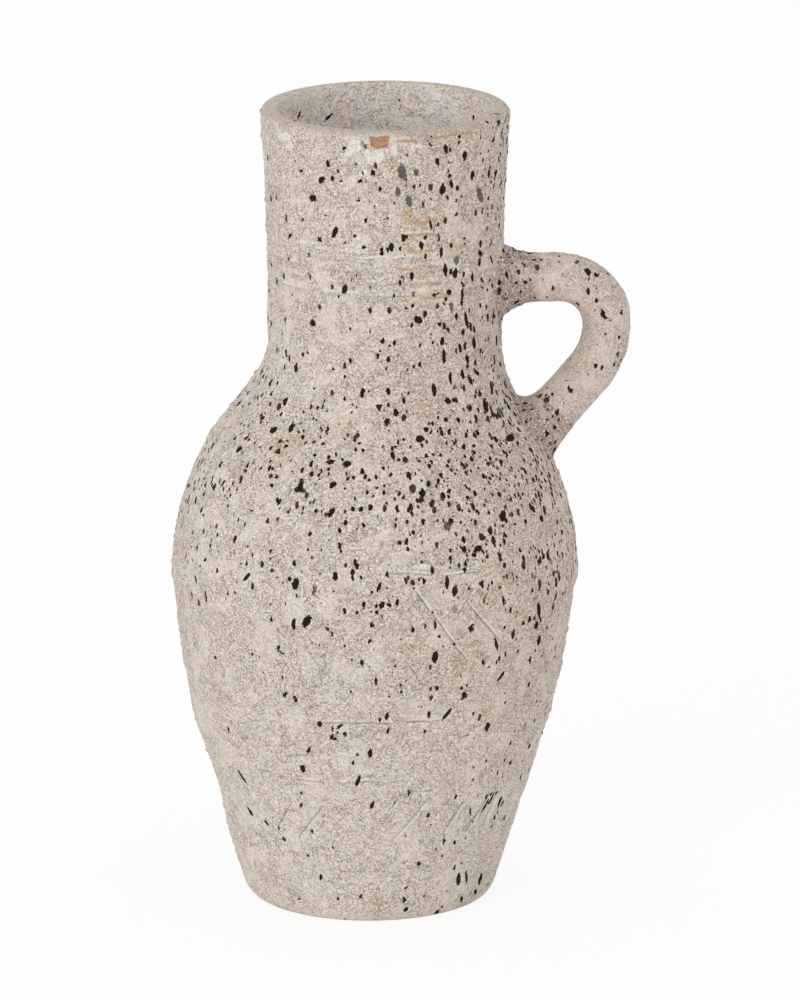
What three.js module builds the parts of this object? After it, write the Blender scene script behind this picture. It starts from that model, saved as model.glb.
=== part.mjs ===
// Clay vase with one handle: thrown lower body, upper body and neck, a pulled handle,
// and the soft clay that lutes both ends of the handle to the wall.
// Millimetres, +Z up. The origin is the middle of the flat foot; the handle points along +X.

import * as THREE from 'three';

// Lower body, from the table to the seam at the widest part of the belly
const FOOT_RADIUS = 51;
const FOOT_EDGE_OUT = 5.5;
const FOOT_EDGE_RISE = 6;
const LOWER_HEIGHT = 143;
const LOWER_RIM_RADIUS = 89.2;
const FLOOR_THICKNESS = 10;
const FLOOR_CORNER = 14;

// Upper body, from the belly seam to the seat of the neck
const SEAM_OVERHANG = 1.3;
const SHOULDER_RISE = 72;
const SHOULDER_RADIUS = 70;
const COLLAR_RISE = 38;

// Neck, from its seat on the collar to the lip
const NECK_RADIUS = 51.5;
const NECK_HEIGHT = 107;
const LIP_RADIUS = 54.8;
const LIP_OUTER_ROUND = 3.2;
const LIP_INNER_ROUND = 1.2;

// How each outline curve leaves its lower end and reaches its upper end: the lean from the
// vertical, and the pull, which is that end's share of the straight distance between the ends
const FOOT_LEAN_DEG = 16;
const FOOT_PULL = 0.56;
const LOWER_RIM_LEAN_DEG = 5;
const LOWER_RIM_PULL = 0.33;
const BELLY_PULL = 0.5;
const SHOULDER_LEAN_DEG = -41;
const SHOULDER_PULL_BELOW = 0.11;
const SHOULDER_PULL_ABOVE = 0.29;
const COLLAR_PULL = 0.3;
const NECK_PULL = 0.5;
const LIP_LEAN_DEG = 3;
const LIP_PULL = 0.3;

// Walls, and how far the hand-set pieces stand off a true vertical axis, towards the handle
const BODY_WALL = 8;
const NECK_WALL = 7;
const BODY_LEAN = 3.1;
const NECK_SHIFT = 3.9;

// Joints: a tongue on the lower rim, a spigot under the neck, and the slip-filled gap beside them
const TONGUE_HEIGHT = 8;
const SPIGOT_HEIGHT = 8;
const JOINT_GAP = 0.3;

// Handle: one oval roll that leaves the neck level, bends down and runs back to the shoulder
const HANDLE_THICKNESS = 21.4;
const HANDLE_WIDTH = 24;
const HANDLE_SEAT_RISE = 29;
const HANDLE_STEM = 25.5;
const HANDLE_TOP_BEND = 21;
const HANDLE_BACK_BEND = 34;
const HANDLE_BACK_DEG = 40;

// Luting at the handle's ends: how far it runs along the roll, and how far it spreads on the wall
const LUTING_EDGE = 0.6;
const UPPER_LUTING_REACH = 17;
const UPPER_LUTING_SPREAD_ABOVE = 5;
const UPPER_LUTING_SPREAD_BELOW = 9;
const LOWER_LUTING_REACH = 15;
const LOWER_LUTING_SPREAD_OUTSIDE = 2.5;
const LOWER_LUTING_SPREAD_INSIDE = 8.5;

// Facets
const WALL_SEGMENTS = 60;
const ROLL_SEGMENTS = 24;
const OUTLINE_STEPS = 11;
const ROOT_STEPS = 6;
const NECK_STEPS = 6;
const INSIDE_STEPS = 9;
const EDGE_STEPS = 3;
const BEND_STEP_DEG = 12;
const LUTING_RISES = [0.7, 0.45, 0.25, 0.1, 0];

// Heights of the seams and seats, stacked from the sizes above
const seamZ = LOWER_HEIGHT;
const shoulderZ = seamZ + SHOULDER_RISE;
const collarZ = shoulderZ + COLLAR_RISE;
const lipZ = collarZ + NECK_HEIGHT;

const ROLL_ANGLES = Array.from(
  { length: ROLL_SEGMENTS },
  (_, i) => (2 * Math.PI * i) / ROLL_SEGMENTS,
);

function radians(degrees) {
  return THREE.MathUtils.degToRad(degrees);
}

// The hand-set centre line: the body leans a little, and the neck root steps over to the neck
function axisX(z) {
  const lean = BODY_LEAN * Math.min(z / shoulderZ, 1);
  return lean + NECK_SHIFT * THREE.MathUtils.smoothstep(z, shoulderZ, collarZ);
}

// A point of an outline, as (radius, height)
function at(radius, z) {
  return new THREE.Vector2(radius, z);
}

function leanDirection(degrees) {
  return at(Math.sin(radians(degrees)), Math.cos(radians(degrees)));
}

function outlineCurve(start, startDeg, startPull, end, endDeg, endPull, steps) {
  const chord = start.distanceTo(end);
  const curve = new THREE.CubicBezierCurve(
    start,
    start.clone().addScaledVector(leanDirection(startDeg), startPull * chord),
    end.clone().addScaledVector(leanDirection(endDeg), -endPull * chord),
    end,
  );
  return curve.getPoints(steps);
}

// A rounded edge that keeps the tangents of the two faces that would meet in a corner
function roundedEdge(from, corner, to) {
  return new THREE.QuadraticBezierCurve(from, corner, to).getPoints(EDGE_STEPS);
}

function lowerOutline() {
  const foot = at(FOOT_RADIUS, 0);
  const edge = at(FOOT_RADIUS + FOOT_EDGE_OUT, FOOT_EDGE_RISE);
  const corner = at(edge.x - FOOT_EDGE_RISE * Math.tan(radians(FOOT_LEAN_DEG)), 0);
  const rim = at(LOWER_RIM_RADIUS, seamZ);
  const wall = outlineCurve(
    edge, FOOT_LEAN_DEG, FOOT_PULL,
    rim, LOWER_RIM_LEAN_DEG, LOWER_RIM_PULL, OUTLINE_STEPS,
  );
  return [...roundedEdge(foot, corner, edge), ...wall.slice(1)];
}

function upperOutline() {
  const rim = at(LOWER_RIM_RADIUS + SEAM_OVERHANG, seamZ);
  const shoulder = at(SHOULDER_RADIUS, shoulderZ);
  const collar = at(NECK_RADIUS, collarZ);
  const dome = outlineCurve(
    rim, 0, BELLY_PULL,
    shoulder, SHOULDER_LEAN_DEG, SHOULDER_PULL_BELOW, OUTLINE_STEPS,
  );
  const root = outlineCurve(
    shoulder, SHOULDER_LEAN_DEG, SHOULDER_PULL_ABOVE,
    collar, 0, COLLAR_PULL, ROOT_STEPS,
  );
  return [...dome, ...root.slice(1)];
}

function neckOutline() {
  const seat = at(NECK_RADIUS, collarZ);
  const lip = at(LIP_RADIUS, lipZ - LIP_OUTER_ROUND);
  return outlineCurve(seat, 0, NECK_PULL, lip, LIP_LEAN_DEG, LIP_PULL, NECK_STEPS);
}

// The radius of an outline at a height, straight between its points
function radiusOn(outline, z) {
  const next = outline.findIndex((point, i) => i > 0 && point.y >= z);
  const upper = outline[next === -1 ? outline.length - 1 : next];
  const lower = outline[next === -1 ? outline.length - 2 : next - 1];
  return lower.x + ((upper.x - lower.x) * (z - lower.y)) / (upper.y - lower.y);
}

// The inside of a wall: the outline moved inward by the wall, measured square to the surface
function insideRadius(outline, wall, z) {
  const rise = 1;
  const slope = (radiusOn(outline, z + rise) - radiusOn(outline, z - rise)) / (2 * rise);
  return radiusOn(outline, z) - wall * Math.hypot(1, slope);
}

// Points down the inside of a wall, from one height to a lower one
function insideWall(outline, wall, fromZ, toZ, steps) {
  const points = [];
  for (let i = 0; i <= steps; i += 1) {
    const z = THREE.MathUtils.lerp(fromZ, toZ, i / steps);
    points.push(at(insideRadius(outline, wall, z), z));
  }
  return points;
}

// Turns a closed profile round the hand-set centre line
function turnedGeometry(profile) {
  const geometry = new THREE.LatheGeometry(profile, WALL_SEGMENTS);
  geometry.rotateX(Math.PI / 2);
  const position = geometry.attributes.position;
  for (let i = 0; i < position.count; i += 1) {
    position.setX(i, position.getX(i) + axisX(position.getZ(i)));
  }
  geometry.computeVertexNormals();
  return geometry;
}

// Joins rings of equally many points into one closed skin. A ring of a single point is a tip,
// and without tips the last ring joins the first.
function skinGeometry(rings) {
  const positions = [];
  const starts = [];
  for (const ring of rings) {
    starts.push(positions.length / 3);
    for (const point of ring) {
      positions.push(point.x, point.y, point.z);
    }
  }
  const indices = [];
  const hasTips = rings[0].length === 1;
  const bands = hasTips ? rings.length - 1 : rings.length;
  for (let band = 0; band < bands; band += 1) {
    const other = (band + 1) % rings.length;
    const sides = Math.max(rings[band].length, rings[other].length);
    for (let i = 0; i < sides; i += 1) {
      const j = (i + 1) % sides;
      const here = rings[band].length === 1 ? [0, 0] : [i, j];
      const there = rings[other].length === 1 ? [0, 0] : [i, j];
      const a = starts[band] + here[0];
      const b = starts[band] + here[1];
      const c = starts[other] + there[0];
      const d = starts[other] + there[1];
      if (a !== b) {
        indices.push(a, b, d);
      }
      if (c !== d) {
        indices.push(a, d, c);
      }
    }
  }
  const geometry = new THREE.BufferGeometry();
  geometry.setAttribute('position', new THREE.Float32BufferAttribute(positions, 3));
  geometry.setIndex(indices);
  geometry.computeVertexNormals();
  return geometry;
}

const lowerWall = lowerOutline();
const upperWall = upperOutline();
const neckWall = neckOutline();

// The outer radius of the assembled vase at any height
function outerRadius(z) {
  if (z < seamZ) {
    return radiusOn(lowerWall, z);
  }
  return radiusOn(z < collarZ ? upperWall : neckWall, z);
}

// The tongue is the inner half of the lower wall, and the spigot the inner half of the neck's.
const ledgeZ = seamZ + TONGUE_HEIGHT;
const tongueInner = insideRadius(upperWall, BODY_WALL, ledgeZ);
const tongueOuter = (tongueInner + LOWER_RIM_RADIUS - JOINT_GAP) / 2;
const spigotInner = NECK_RADIUS - NECK_WALL;
const spigotOuter = (spigotInner + NECK_RADIUS - JOINT_GAP) / 2;
const socketRadius = spigotOuter + JOINT_GAP;
const socketFloorZ = collarZ - SPIGOT_HEIGHT;

function lowerBodyGeometry() {
  const cornerZ = FLOOR_THICKNESS + FLOOR_CORNER;
  const inside = insideWall(lowerWall, BODY_WALL, seamZ - TONGUE_HEIGHT, cornerZ, INSIDE_STEPS);
  const cornerTop = inside[inside.length - 1];
  const lean = FLOOR_CORNER * Math.tan(radians(FOOT_LEAN_DEG));
  const corner = at(cornerTop.x - lean, FLOOR_THICKNESS);
  const cornerFoot = at(corner.x - FLOOR_CORNER, FLOOR_THICKNESS);
  return turnedGeometry([
    at(0, 0),
    ...lowerWall,
    at(tongueOuter, seamZ),
    at(tongueOuter, ledgeZ - JOINT_GAP),
    at(tongueInner, ledgeZ - JOINT_GAP),
    ...inside,
    ...roundedEdge(cornerTop, corner, cornerFoot).slice(1),
    at(0, FLOOR_THICKNESS),
  ]);
}

function upperBodyGeometry() {
  const skirtInner = tongueOuter + JOINT_GAP;
  return turnedGeometry([
    at(skirtInner, seamZ),
    ...upperWall,
    at(socketRadius, collarZ),
    at(socketRadius, socketFloorZ),
    ...insideWall(upperWall, BODY_WALL, socketFloorZ, ledgeZ, INSIDE_STEPS),
    at(skirtInner, ledgeZ),
    at(skirtInner, seamZ),
  ]);
}

function neckGeometry() {
  const inside = insideWall(neckWall, NECK_WALL, lipZ - LIP_INNER_ROUND, collarZ, NECK_STEPS);
  const lipInner = inside[0];
  const lipOuter = neckWall[neckWall.length - 1];
  const outerCorner = at(lipOuter.x, lipZ);
  const innerCorner = at(lipInner.x, lipZ);
  const outerTop = at(outerCorner.x - LIP_OUTER_ROUND, lipZ);
  const innerTop = at(innerCorner.x + LIP_INNER_ROUND, lipZ);
  return turnedGeometry([
    at(spigotOuter, collarZ),
    ...neckWall,
    ...roundedEdge(lipOuter, outerCorner, outerTop).slice(1),
    ...roundedEdge(innerTop, innerCorner, lipInner),
    ...inside.slice(1),
    at(spigotInner, socketFloorZ + JOINT_GAP),
    at(spigotOuter, socketFloorZ + JOINT_GAP),
    at(spigotOuter, collarZ),
  ]);
}

// Where a line that starts inside the vase comes out through the outer wall, by halving
function distanceToWall(start, direction) {
  const point = new THREE.Vector3();
  const halvings = 24;
  let inside = 0;
  let outside = 2 * (LOWER_RIM_RADIUS + SEAM_OVERHANG);
  for (let i = 0; i < halvings; i += 1) {
    const middle = (inside + outside) / 2;
    point.copy(start).addScaledVector(direction, middle);
    const radius = Math.hypot(point.x - axisX(point.z), point.y);
    if (radius < outerRadius(point.z)) {
      inside = middle;
    } else {
      outside = middle;
    }
  }
  return outside;
}

// A section across the handle's roll: its centre, the direction along the roll away from the
// wall, and the direction across it towards the outside of the loop. The width lies along Y.
function rollPoint(section, angle, grow) {
  const across = (HANDLE_THICKNESS / 2 + grow) * Math.cos(angle);
  const sideways = (HANDLE_WIDTH / 2 + grow) * Math.sin(angle);
  const point = section.centre.clone().addScaledVector(section.across, across);
  point.y += sideways;
  return point;
}

function rollRing(section, grow) {
  return ROLL_ANGLES.map((angle) => rollPoint(section, angle, grow));
}

// A point of such a ring, carried along the roll until it lies one joint gap off the outer wall
function wallPoint(section, angle, grow) {
  const start = rollPoint(section, angle, grow).addScaledVector(section.along, -NECK_RADIUS / 2);
  const distance = distanceToWall(start, section.along) + JOINT_GAP;
  return start.addScaledVector(section.along, distance);
}

function wallRing(section, growAt) {
  return ROLL_ANGLES.map((angle) => wallPoint(section, angle, growAt(angle)));
}

// A section further along the same straight stretch of the roll
function shifted(section, distance) {
  const centre = section.centre.clone().addScaledVector(section.along, distance);
  return { ...section, centre };
}

// The handle's centre line: a level stem, the top bend, the back bend, and a straight run that
// is as long as it takes to reach the shoulder
const seatZ = collarZ + HANDLE_SEAT_RISE;
const seatX = axisX(seatZ) + outerRadius(seatZ);
const bendZ = seatZ - HANDLE_TOP_BEND;
const topBendX = seatX + HANDLE_STEM;
const backBendX = topBendX + HANDLE_TOP_BEND - HANDLE_BACK_BEND;
const backAngle = radians(HANDLE_BACK_DEG);

// A section on a bend, at an angle above the level line through the bend's middle
function bendSection(bendX, bendRadius, angle) {
  const across = new THREE.Vector3(Math.cos(angle), 0, Math.sin(angle));
  const along = new THREE.Vector3(-Math.sin(angle), 0, Math.cos(angle));
  const centre = new THREE.Vector3(bendX, 0, bendZ).addScaledVector(across, bendRadius);
  return { centre, along, across };
}

const upperEnd = {
  centre: new THREE.Vector3(seatX, 0, seatZ),
  along: new THREE.Vector3(1, 0, 0),
  across: new THREE.Vector3(0, 0, 1),
};
const lowerEnd = lowerHandleEnd();

function lowerHandleEnd() {
  const bendEnd = bendSection(backBendX, HANDLE_BACK_BEND, -backAngle);
  const middle = shifted(bendEnd, -bendEnd.centre.x / bendEnd.along.x);
  return shifted(middle, distanceToWall(middle.centre, middle.along));
}

// The rings of a roll end: a tip, half way out and the full roll, all one gap off the wall
function endRings(end) {
  return [
    [wallPoint(end, Math.PI / 2, -HANDLE_WIDTH / 2)],
    wallRing(end, () => -HANDLE_THICKNESS / 4),
    wallRing(end, () => 0),
  ];
}

function handleGeometry() {
  const rings = [...endRings(lowerEnd), rollRing(shifted(lowerEnd, LOWER_LUTING_REACH), 0)];
  const backSteps = Math.max(1, Math.round(HANDLE_BACK_DEG / BEND_STEP_DEG));
  for (let i = 0; i <= backSteps; i += 1) {
    const angle = (i / backSteps - 1) * backAngle;
    rings.push(rollRing(bendSection(backBendX, HANDLE_BACK_BEND, angle), 0));
  }
  const topSteps = Math.round(90 / BEND_STEP_DEG);
  for (let i = 1; i <= topSteps; i += 1) {
    const angle = (i / topSteps) * (Math.PI / 2);
    rings.push(rollRing(bendSection(topBendX, HANDLE_TOP_BEND, angle), 0));
  }
  rings.push(rollRing(shifted(upperEnd, UPPER_LUTING_REACH), 0));
  rings.push(...endRings(upperEnd).reverse());
  return skinGeometry(rings);
}

// Luting is a ring round the roll: a close bore, a thin edge along the roll, and a hollow flare
// down to the wall that spreads differently outside and inside the handle's loop.
function lutingGeometry(end, reach, spreadOutside, spreadInside) {
  const bore = JOINT_GAP;
  const skin = bore + LUTING_EDGE;
  const tip = shifted(end, reach);
  const spread = (angle) => {
    const share = (1 + Math.cos(angle)) / 2;
    return skin + THREE.MathUtils.lerp(spreadInside, spreadOutside, share);
  };
  const flareRing = (rise) => ROLL_ANGLES.map((angle) => {
    const grow = THREE.MathUtils.lerp(skin, spread(angle), (1 - rise) ** 3);
    const foot = wallPoint(end, angle, grow).addScaledVector(end.along, LUTING_EDGE);
    return foot.lerp(rollPoint(tip, angle, grow), rise);
  });
  const rings = [
    wallRing(end, () => bore),
    rollRing(tip, bore),
    rollRing(tip, skin),
    ...LUTING_RISES.map(flareRing),
    wallRing(end, spread),
    wallRing(end, (angle) => (bore + spread(angle)) / 2),
  ];
  // The two ends are mirror images, so the order of the rings tells inside from outside.
  const mirrored = end.along.clone().cross(end.across).y > 0;
  return skinGeometry(mirrored ? rings.reverse() : rings);
}

function coatedClay(color) {
  return new THREE.MeshStandardMaterial({ color, roughness: 0.95, metalness: 0 });
}

const vase = new THREE.Group();
vase.name = 'clay_vase';

function addPiece(name, geometry, color) {
  const mesh = new THREE.Mesh(geometry, coatedClay(color));
  mesh.name = name;
  vase.add(mesh);
}

const SANDY_GREY_BEIGE = '#c6bbae';
const PINKISH_BEIGE = '#c3b6aa';
const DARKER_SAND = '#b3a698';

addPiece('lower_body', lowerBodyGeometry(), SANDY_GREY_BEIGE);
addPiece('upper_body', upperBodyGeometry(), SANDY_GREY_BEIGE);
addPiece('neck', neckGeometry(), SANDY_GREY_BEIGE);
addPiece('handle', handleGeometry(), PINKISH_BEIGE);
addPiece(
  'handle_upper_luting',
  lutingGeometry(
    upperEnd,
    UPPER_LUTING_REACH,
    UPPER_LUTING_SPREAD_ABOVE,
    UPPER_LUTING_SPREAD_BELOW,
  ),
  DARKER_SAND,
);
addPiece(
  'handle_lower_luting',
  lutingGeometry(
    lowerEnd,
    LOWER_LUTING_REACH,
    LOWER_LUTING_SPREAD_OUTSIDE,
    LOWER_LUTING_SPREAD_INSIDE,
  ),
  DARKER_SAND,
);

export default vase;
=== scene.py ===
"""Clay vase with one handle, standing on its flat foot at the origin.

Dense skins take the places of its six solids, under a sandy, black-speckled coat, on a plain floor
in soft light. The handle points along +X and the camera looks along +Y. Sizes are in millimetres,
except where a name says otherwise, and become metres where a mesh, lamp or camera is made.
"""

import functools
import itertools
import math
import typing

import bpy
import numpy as np
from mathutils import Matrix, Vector


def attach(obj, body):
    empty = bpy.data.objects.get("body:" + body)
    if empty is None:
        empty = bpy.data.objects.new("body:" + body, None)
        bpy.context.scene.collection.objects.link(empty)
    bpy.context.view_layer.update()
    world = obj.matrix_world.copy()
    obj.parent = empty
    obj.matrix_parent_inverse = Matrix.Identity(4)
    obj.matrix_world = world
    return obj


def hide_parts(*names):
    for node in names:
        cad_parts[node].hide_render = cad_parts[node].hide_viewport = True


METRES = 0.001

# The camera, and where the photograph shows its target point, and how large, in its pixels
CAMERA_ELEVATION_DEG = 15.25
CAMERA_DISTANCE = 4500.0
CAMERA_TARGET_Z = 180.0
SENSOR_WIDTH = 36.0
PHOTO_WIDTH = 800
PHOTO_HEIGHT = 1000
PIXELS_PER_MM = 2.2477
TARGET_X_PX = 369.1
TARGET_Y_PX = 499.5

# The outline's sizes
FOOT_RADIUS = 51.0
FOOT_EDGE_OUT = 5.5
FOOT_EDGE_RISE = 6.0
LOWER_HEIGHT = 143.0
LOWER_RIM_RADIUS = 89.2
FLOOR_THICKNESS = 10.0
FLOOR_CORNER = 14.0
SEAM_OVERHANG = 1.3
SHOULDER_RISE = 72.0
SHOULDER_RADIUS = 70.0
COLLAR_RISE = 38.0
NECK_RADIUS = 51.5
NECK_HEIGHT = 107.0
LIP_RADIUS = 54.8
LIP_OUTER_ROUND = 3.2
LIP_INNER_ROUND = 1.2
FOOT_LEAN_DEG = 16.0
FOOT_PULL = 0.56
LOWER_RIM_LEAN_DEG = 5.0
LOWER_RIM_PULL = 0.33
BELLY_PULL = 0.5
SHOULDER_LEAN_DEG = -41.0
SHOULDER_PULL_BELOW = 0.11
SHOULDER_PULL_ABOVE = 0.29
COLLAR_PULL = 0.3
NECK_PULL = 0.5
LIP_LEAN_DEG = 3.0
LIP_PULL = 0.3
BODY_WALL = 8.0
NECK_WALL = 7.0
BODY_LEAN = 3.1
NECK_SHIFT = 3.9
TONGUE_HEIGHT = 8.0
SPIGOT_HEIGHT = 8.0
JOINT_GAP = 0.3

# The handle's and the luting's sizes
HANDLE_THICKNESS = 21.4
HANDLE_WIDTH = 24.0
HANDLE_SEAT_RISE = 29.0
HANDLE_STEM = 25.5
HANDLE_TOP_BEND = 21.0
HANDLE_BACK_BEND = 34.0
HANDLE_BACK_DEG = 40.0
UPPER_LUTING_REACH = 17.0
UPPER_LUTING_SPREAD_ABOVE = 5.0
UPPER_LUTING_SPREAD_BELOW = 9.0
LOWER_LUTING_REACH = 15.0
LOWER_LUTING_SPREAD_OUTSIDE = 2.5
LOWER_LUTING_SPREAD_INSIDE = 8.5

SEAM_Z = LOWER_HEIGHT
SHOULDER_Z = SEAM_Z + SHOULDER_RISE
COLLAR_Z = SHOULDER_Z + COLLAR_RISE
LIP_Z = COLLAR_Z + NECK_HEIGHT
LEDGE_Z = SEAM_Z + TONGUE_HEIGHT
SOCKET_Z = COLLAR_Z - SPIGOT_HEIGHT

# How finely the skins are divided
WALL_SEGMENTS = 500
OUTSIDE_STEP = 1.06
EDGE_STEP = 0.6
NECK_INSIDE_STEP = 1.7
BODY_INSIDE_STEP = 5.0
UNDERSIDE_STEP = 7.0
CURVE_POINTS = 400
EDGE_POINTS = 50
SEAM_BLEND = 4.0
ROLL_SEGMENTS = 76
ROLL_STEP = 1.0
LUTING_STEPS = 30
LUTING_DIP = 0.35
LUTING_HOLLOW_OUT = 0.45
LUTING_HOLLOW_UP = 0.5

# How often a range is halved to find where a line leaves the wall
HALVINGS = 26

# The tables of random numbers, how much the smooth noise is stretched, and the grains' shapes
LATTICE = 32
LUMPS_GAIN = 1.7
SMALLEST_REACH = 0.3
REACH_SPREAD = 0.4
LOWEST_GRAIN = 0.4


# Outline

def lean_direction(degrees):
    return np.array([math.sin(math.radians(degrees)), math.cos(math.radians(degrees))])


def outline_curve(start, start_deg, start_pull, end, end_deg, end_pull):
    """A smooth outline between two points (radius, height), as many points."""
    start = np.array(start, float)
    end = np.array(end, float)
    chord = np.linalg.norm(end - start)
    first = start + lean_direction(start_deg) * start_pull * chord
    last = end - lean_direction(end_deg) * end_pull * chord
    t = np.linspace(0.0, 1.0, CURVE_POINTS)[:, None]
    s = 1.0 - t
    return s**3 * start + 3 * s * s * t * first + 3 * s * t * t * last + t**3 * end


def rounded_edge(start, corner, end):
    t = np.linspace(0.0, 1.0, EDGE_POINTS)[:, None]
    s = 1.0 - t
    return s * s * np.array(start) + 2 * s * t * np.array(corner) + t * t * np.array(end)


def straight(start, end):
    return np.linspace(start, end, EDGE_POINTS)


def spaced(path, step):
    """The same path with its points as near as can be to one step apart."""
    lengths = np.hypot(*np.diff(path, axis=0).T)
    along = np.concatenate([[0.0], np.cumsum(lengths)])
    count = max(2, int(round(along[-1] / step)) + 1)
    wanted = np.linspace(0.0, along[-1], count)
    return np.stack([np.interp(wanted, along, path[:, 0]), np.interp(wanted, along, path[:, 1])], -1)


def smoothstep(x, low, high):
    t = np.clip((x - low) / (high - low), 0.0, 1.0)
    return t * t * (3.0 - 2.0 * t)


def axis_x(z):
    """The centre line: the body leans a little and the neck root steps over."""
    return BODY_LEAN * np.minimum(z / SHOULDER_Z, 1.0) + NECK_SHIFT * smoothstep(
        z, SHOULDER_Z, COLLAR_Z
    )


FOOT_EDGE = (FOOT_RADIUS + FOOT_EDGE_OUT, FOOT_EDGE_RISE)
LOWER_WALL = outline_curve(
    FOOT_EDGE, FOOT_LEAN_DEG, FOOT_PULL,
    (LOWER_RIM_RADIUS, SEAM_Z), LOWER_RIM_LEAN_DEG, LOWER_RIM_PULL,
)
DOME = outline_curve(
    (LOWER_RIM_RADIUS + SEAM_OVERHANG, SEAM_Z), 0.0, BELLY_PULL,
    (SHOULDER_RADIUS, SHOULDER_Z), SHOULDER_LEAN_DEG, SHOULDER_PULL_BELOW,
)
ROOT = outline_curve(
    (SHOULDER_RADIUS, SHOULDER_Z), SHOULDER_LEAN_DEG, SHOULDER_PULL_ABOVE,
    (NECK_RADIUS, COLLAR_Z), 0.0, COLLAR_PULL,
)
UPPER_WALL = np.vstack([DOME, ROOT[1:]])
NECK_OUTLINE = outline_curve(
    (NECK_RADIUS, COLLAR_Z), 0.0, NECK_PULL,
    (LIP_RADIUS, LIP_Z - LIP_OUTER_ROUND), LIP_LEAN_DEG, LIP_PULL,
)


def radius_on(outline, z):
    return np.interp(z, outline[:, 1], outline[:, 0])


def inside_radius(outline, wall, z):
    rise = 1.0
    slope = (radius_on(outline, z + rise) - radius_on(outline, z - rise)) / (2 * rise)
    return radius_on(outline, z) - wall * np.hypot(1.0, slope)


def outer_radius(z):
    z = np.asarray(z, float)
    lower = radius_on(LOWER_WALL, z)
    upper = radius_on(UPPER_WALL, z)
    neck = radius_on(NECK_OUTLINE, z)
    return np.where(z < SEAM_Z, lower, np.where(z < COLLAR_Z, upper, neck))


def inside_wall(outline, wall, from_z, to_z):
    z = np.linspace(from_z, to_z, CURVE_POINTS)
    return np.stack([inside_radius(outline, wall, z), z], -1)


def blended_dome():
    """The dome with its proud lower edge smoothed down to the lower wall by slip."""
    dome = DOME.copy()
    above = smoothstep(dome[:, 1], SEAM_Z, SEAM_Z + SEAM_BLEND)
    dome[:, 0] -= SEAM_OVERHANG * (1.0 - above)
    return dome


def skin_spans():
    """The whole skin from the middle of the foot, over the lip, to the middle of the floor."""
    foot_corner = (FOOT_EDGE[0] - FOOT_EDGE_RISE * math.tan(math.radians(FOOT_LEAN_DEG)), 0.0)
    lip_outer = NECK_OUTLINE[-1]
    lip_inside = inside_wall(NECK_OUTLINE, NECK_WALL, LIP_Z - LIP_INNER_ROUND, COLLAR_Z)
    lip_inner = lip_inside[0]
    outer_top = (lip_outer[0] - LIP_OUTER_ROUND, LIP_Z)
    inner_top = (lip_inner[0] + LIP_INNER_ROUND, LIP_Z)
    corner_z = FLOOR_THICKNESS + FLOOR_CORNER
    corner_top = (float(inside_radius(LOWER_WALL, BODY_WALL, corner_z)), corner_z)
    corner_lean = FLOOR_CORNER * math.tan(math.radians(FOOT_LEAN_DEG))
    corner = (corner_top[0] - corner_lean, FLOOR_THICKNESS)
    corner_foot = (corner[0] - FLOOR_CORNER, FLOOR_THICKNESS)
    neck_foot = (NECK_RADIUS - NECK_WALL, SOCKET_Z)
    root_inside = inside_wall(UPPER_WALL, BODY_WALL, SOCKET_Z, LEDGE_Z)
    bowl_inside = inside_wall(LOWER_WALL, BODY_WALL, SEAM_Z - TONGUE_HEIGHT, corner_z)
    return [
        ("lower_body", straight((UNDERSIDE_STEP, 0.0), (FOOT_RADIUS, 0.0)), UNDERSIDE_STEP),
        ("lower_body", rounded_edge((FOOT_RADIUS, 0.0), foot_corner, FOOT_EDGE), OUTSIDE_STEP),
        ("lower_body", LOWER_WALL, OUTSIDE_STEP),
        ("upper_body", blended_dome(), OUTSIDE_STEP),
        ("upper_body", ROOT, OUTSIDE_STEP),
        ("neck", NECK_OUTLINE, OUTSIDE_STEP),
        ("neck", rounded_edge(lip_outer, (lip_outer[0], LIP_Z), outer_top), EDGE_STEP),
        ("neck", straight(outer_top, inner_top), EDGE_STEP),
        ("neck", rounded_edge(inner_top, (lip_inner[0], LIP_Z), lip_inner), EDGE_STEP / 2),
        ("neck", lip_inside, NECK_INSIDE_STEP),
        ("neck", straight((NECK_RADIUS - NECK_WALL, COLLAR_Z), neck_foot), BODY_INSIDE_STEP),
        ("upper_body", np.vstack([neck_foot, root_inside]), BODY_INSIDE_STEP),
        ("lower_body", np.vstack([root_inside[-1], bowl_inside]), BODY_INSIDE_STEP),
        ("lower_body", rounded_edge(corner_top, corner, corner_foot), BODY_INSIDE_STEP),
        ("lower_body", straight(corner_foot, (UNDERSIDE_STEP, FLOOR_THICKNESS)), UNDERSIDE_STEP),
    ]


# Noise in space, the same on every piece

def random_table(seed, width):
    return np.random.default_rng(seed).random((LATTICE, LATTICE, LATTICE, width))


def table_at(table, cell):
    cell = cell % LATTICE
    return table[cell[..., 0], cell[..., 1], cell[..., 2]]


def lumps(points, size, seed):
    """Smooth noise, from about -1 to 1, in lumps of one size."""
    table = random_table(seed, 3) * 2.0 - 1.0
    scaled = points / size
    cell = np.floor(scaled).astype(int)
    inside = scaled - cell
    fade = inside**3 * (inside * (inside * 6.0 - 15.0) + 10.0)
    total = np.zeros(points.shape[:-1])
    for step in itertools.product((0, 1), repeat=3):
        offset = inside - step
        weight = np.prod(np.where(np.array(step) == 1, fade, 1.0 - fade), axis=-1)
        total += weight * np.sum(table_at(table, cell + step) * offset, axis=-1)
    return total * LUMPS_GAIN


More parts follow.
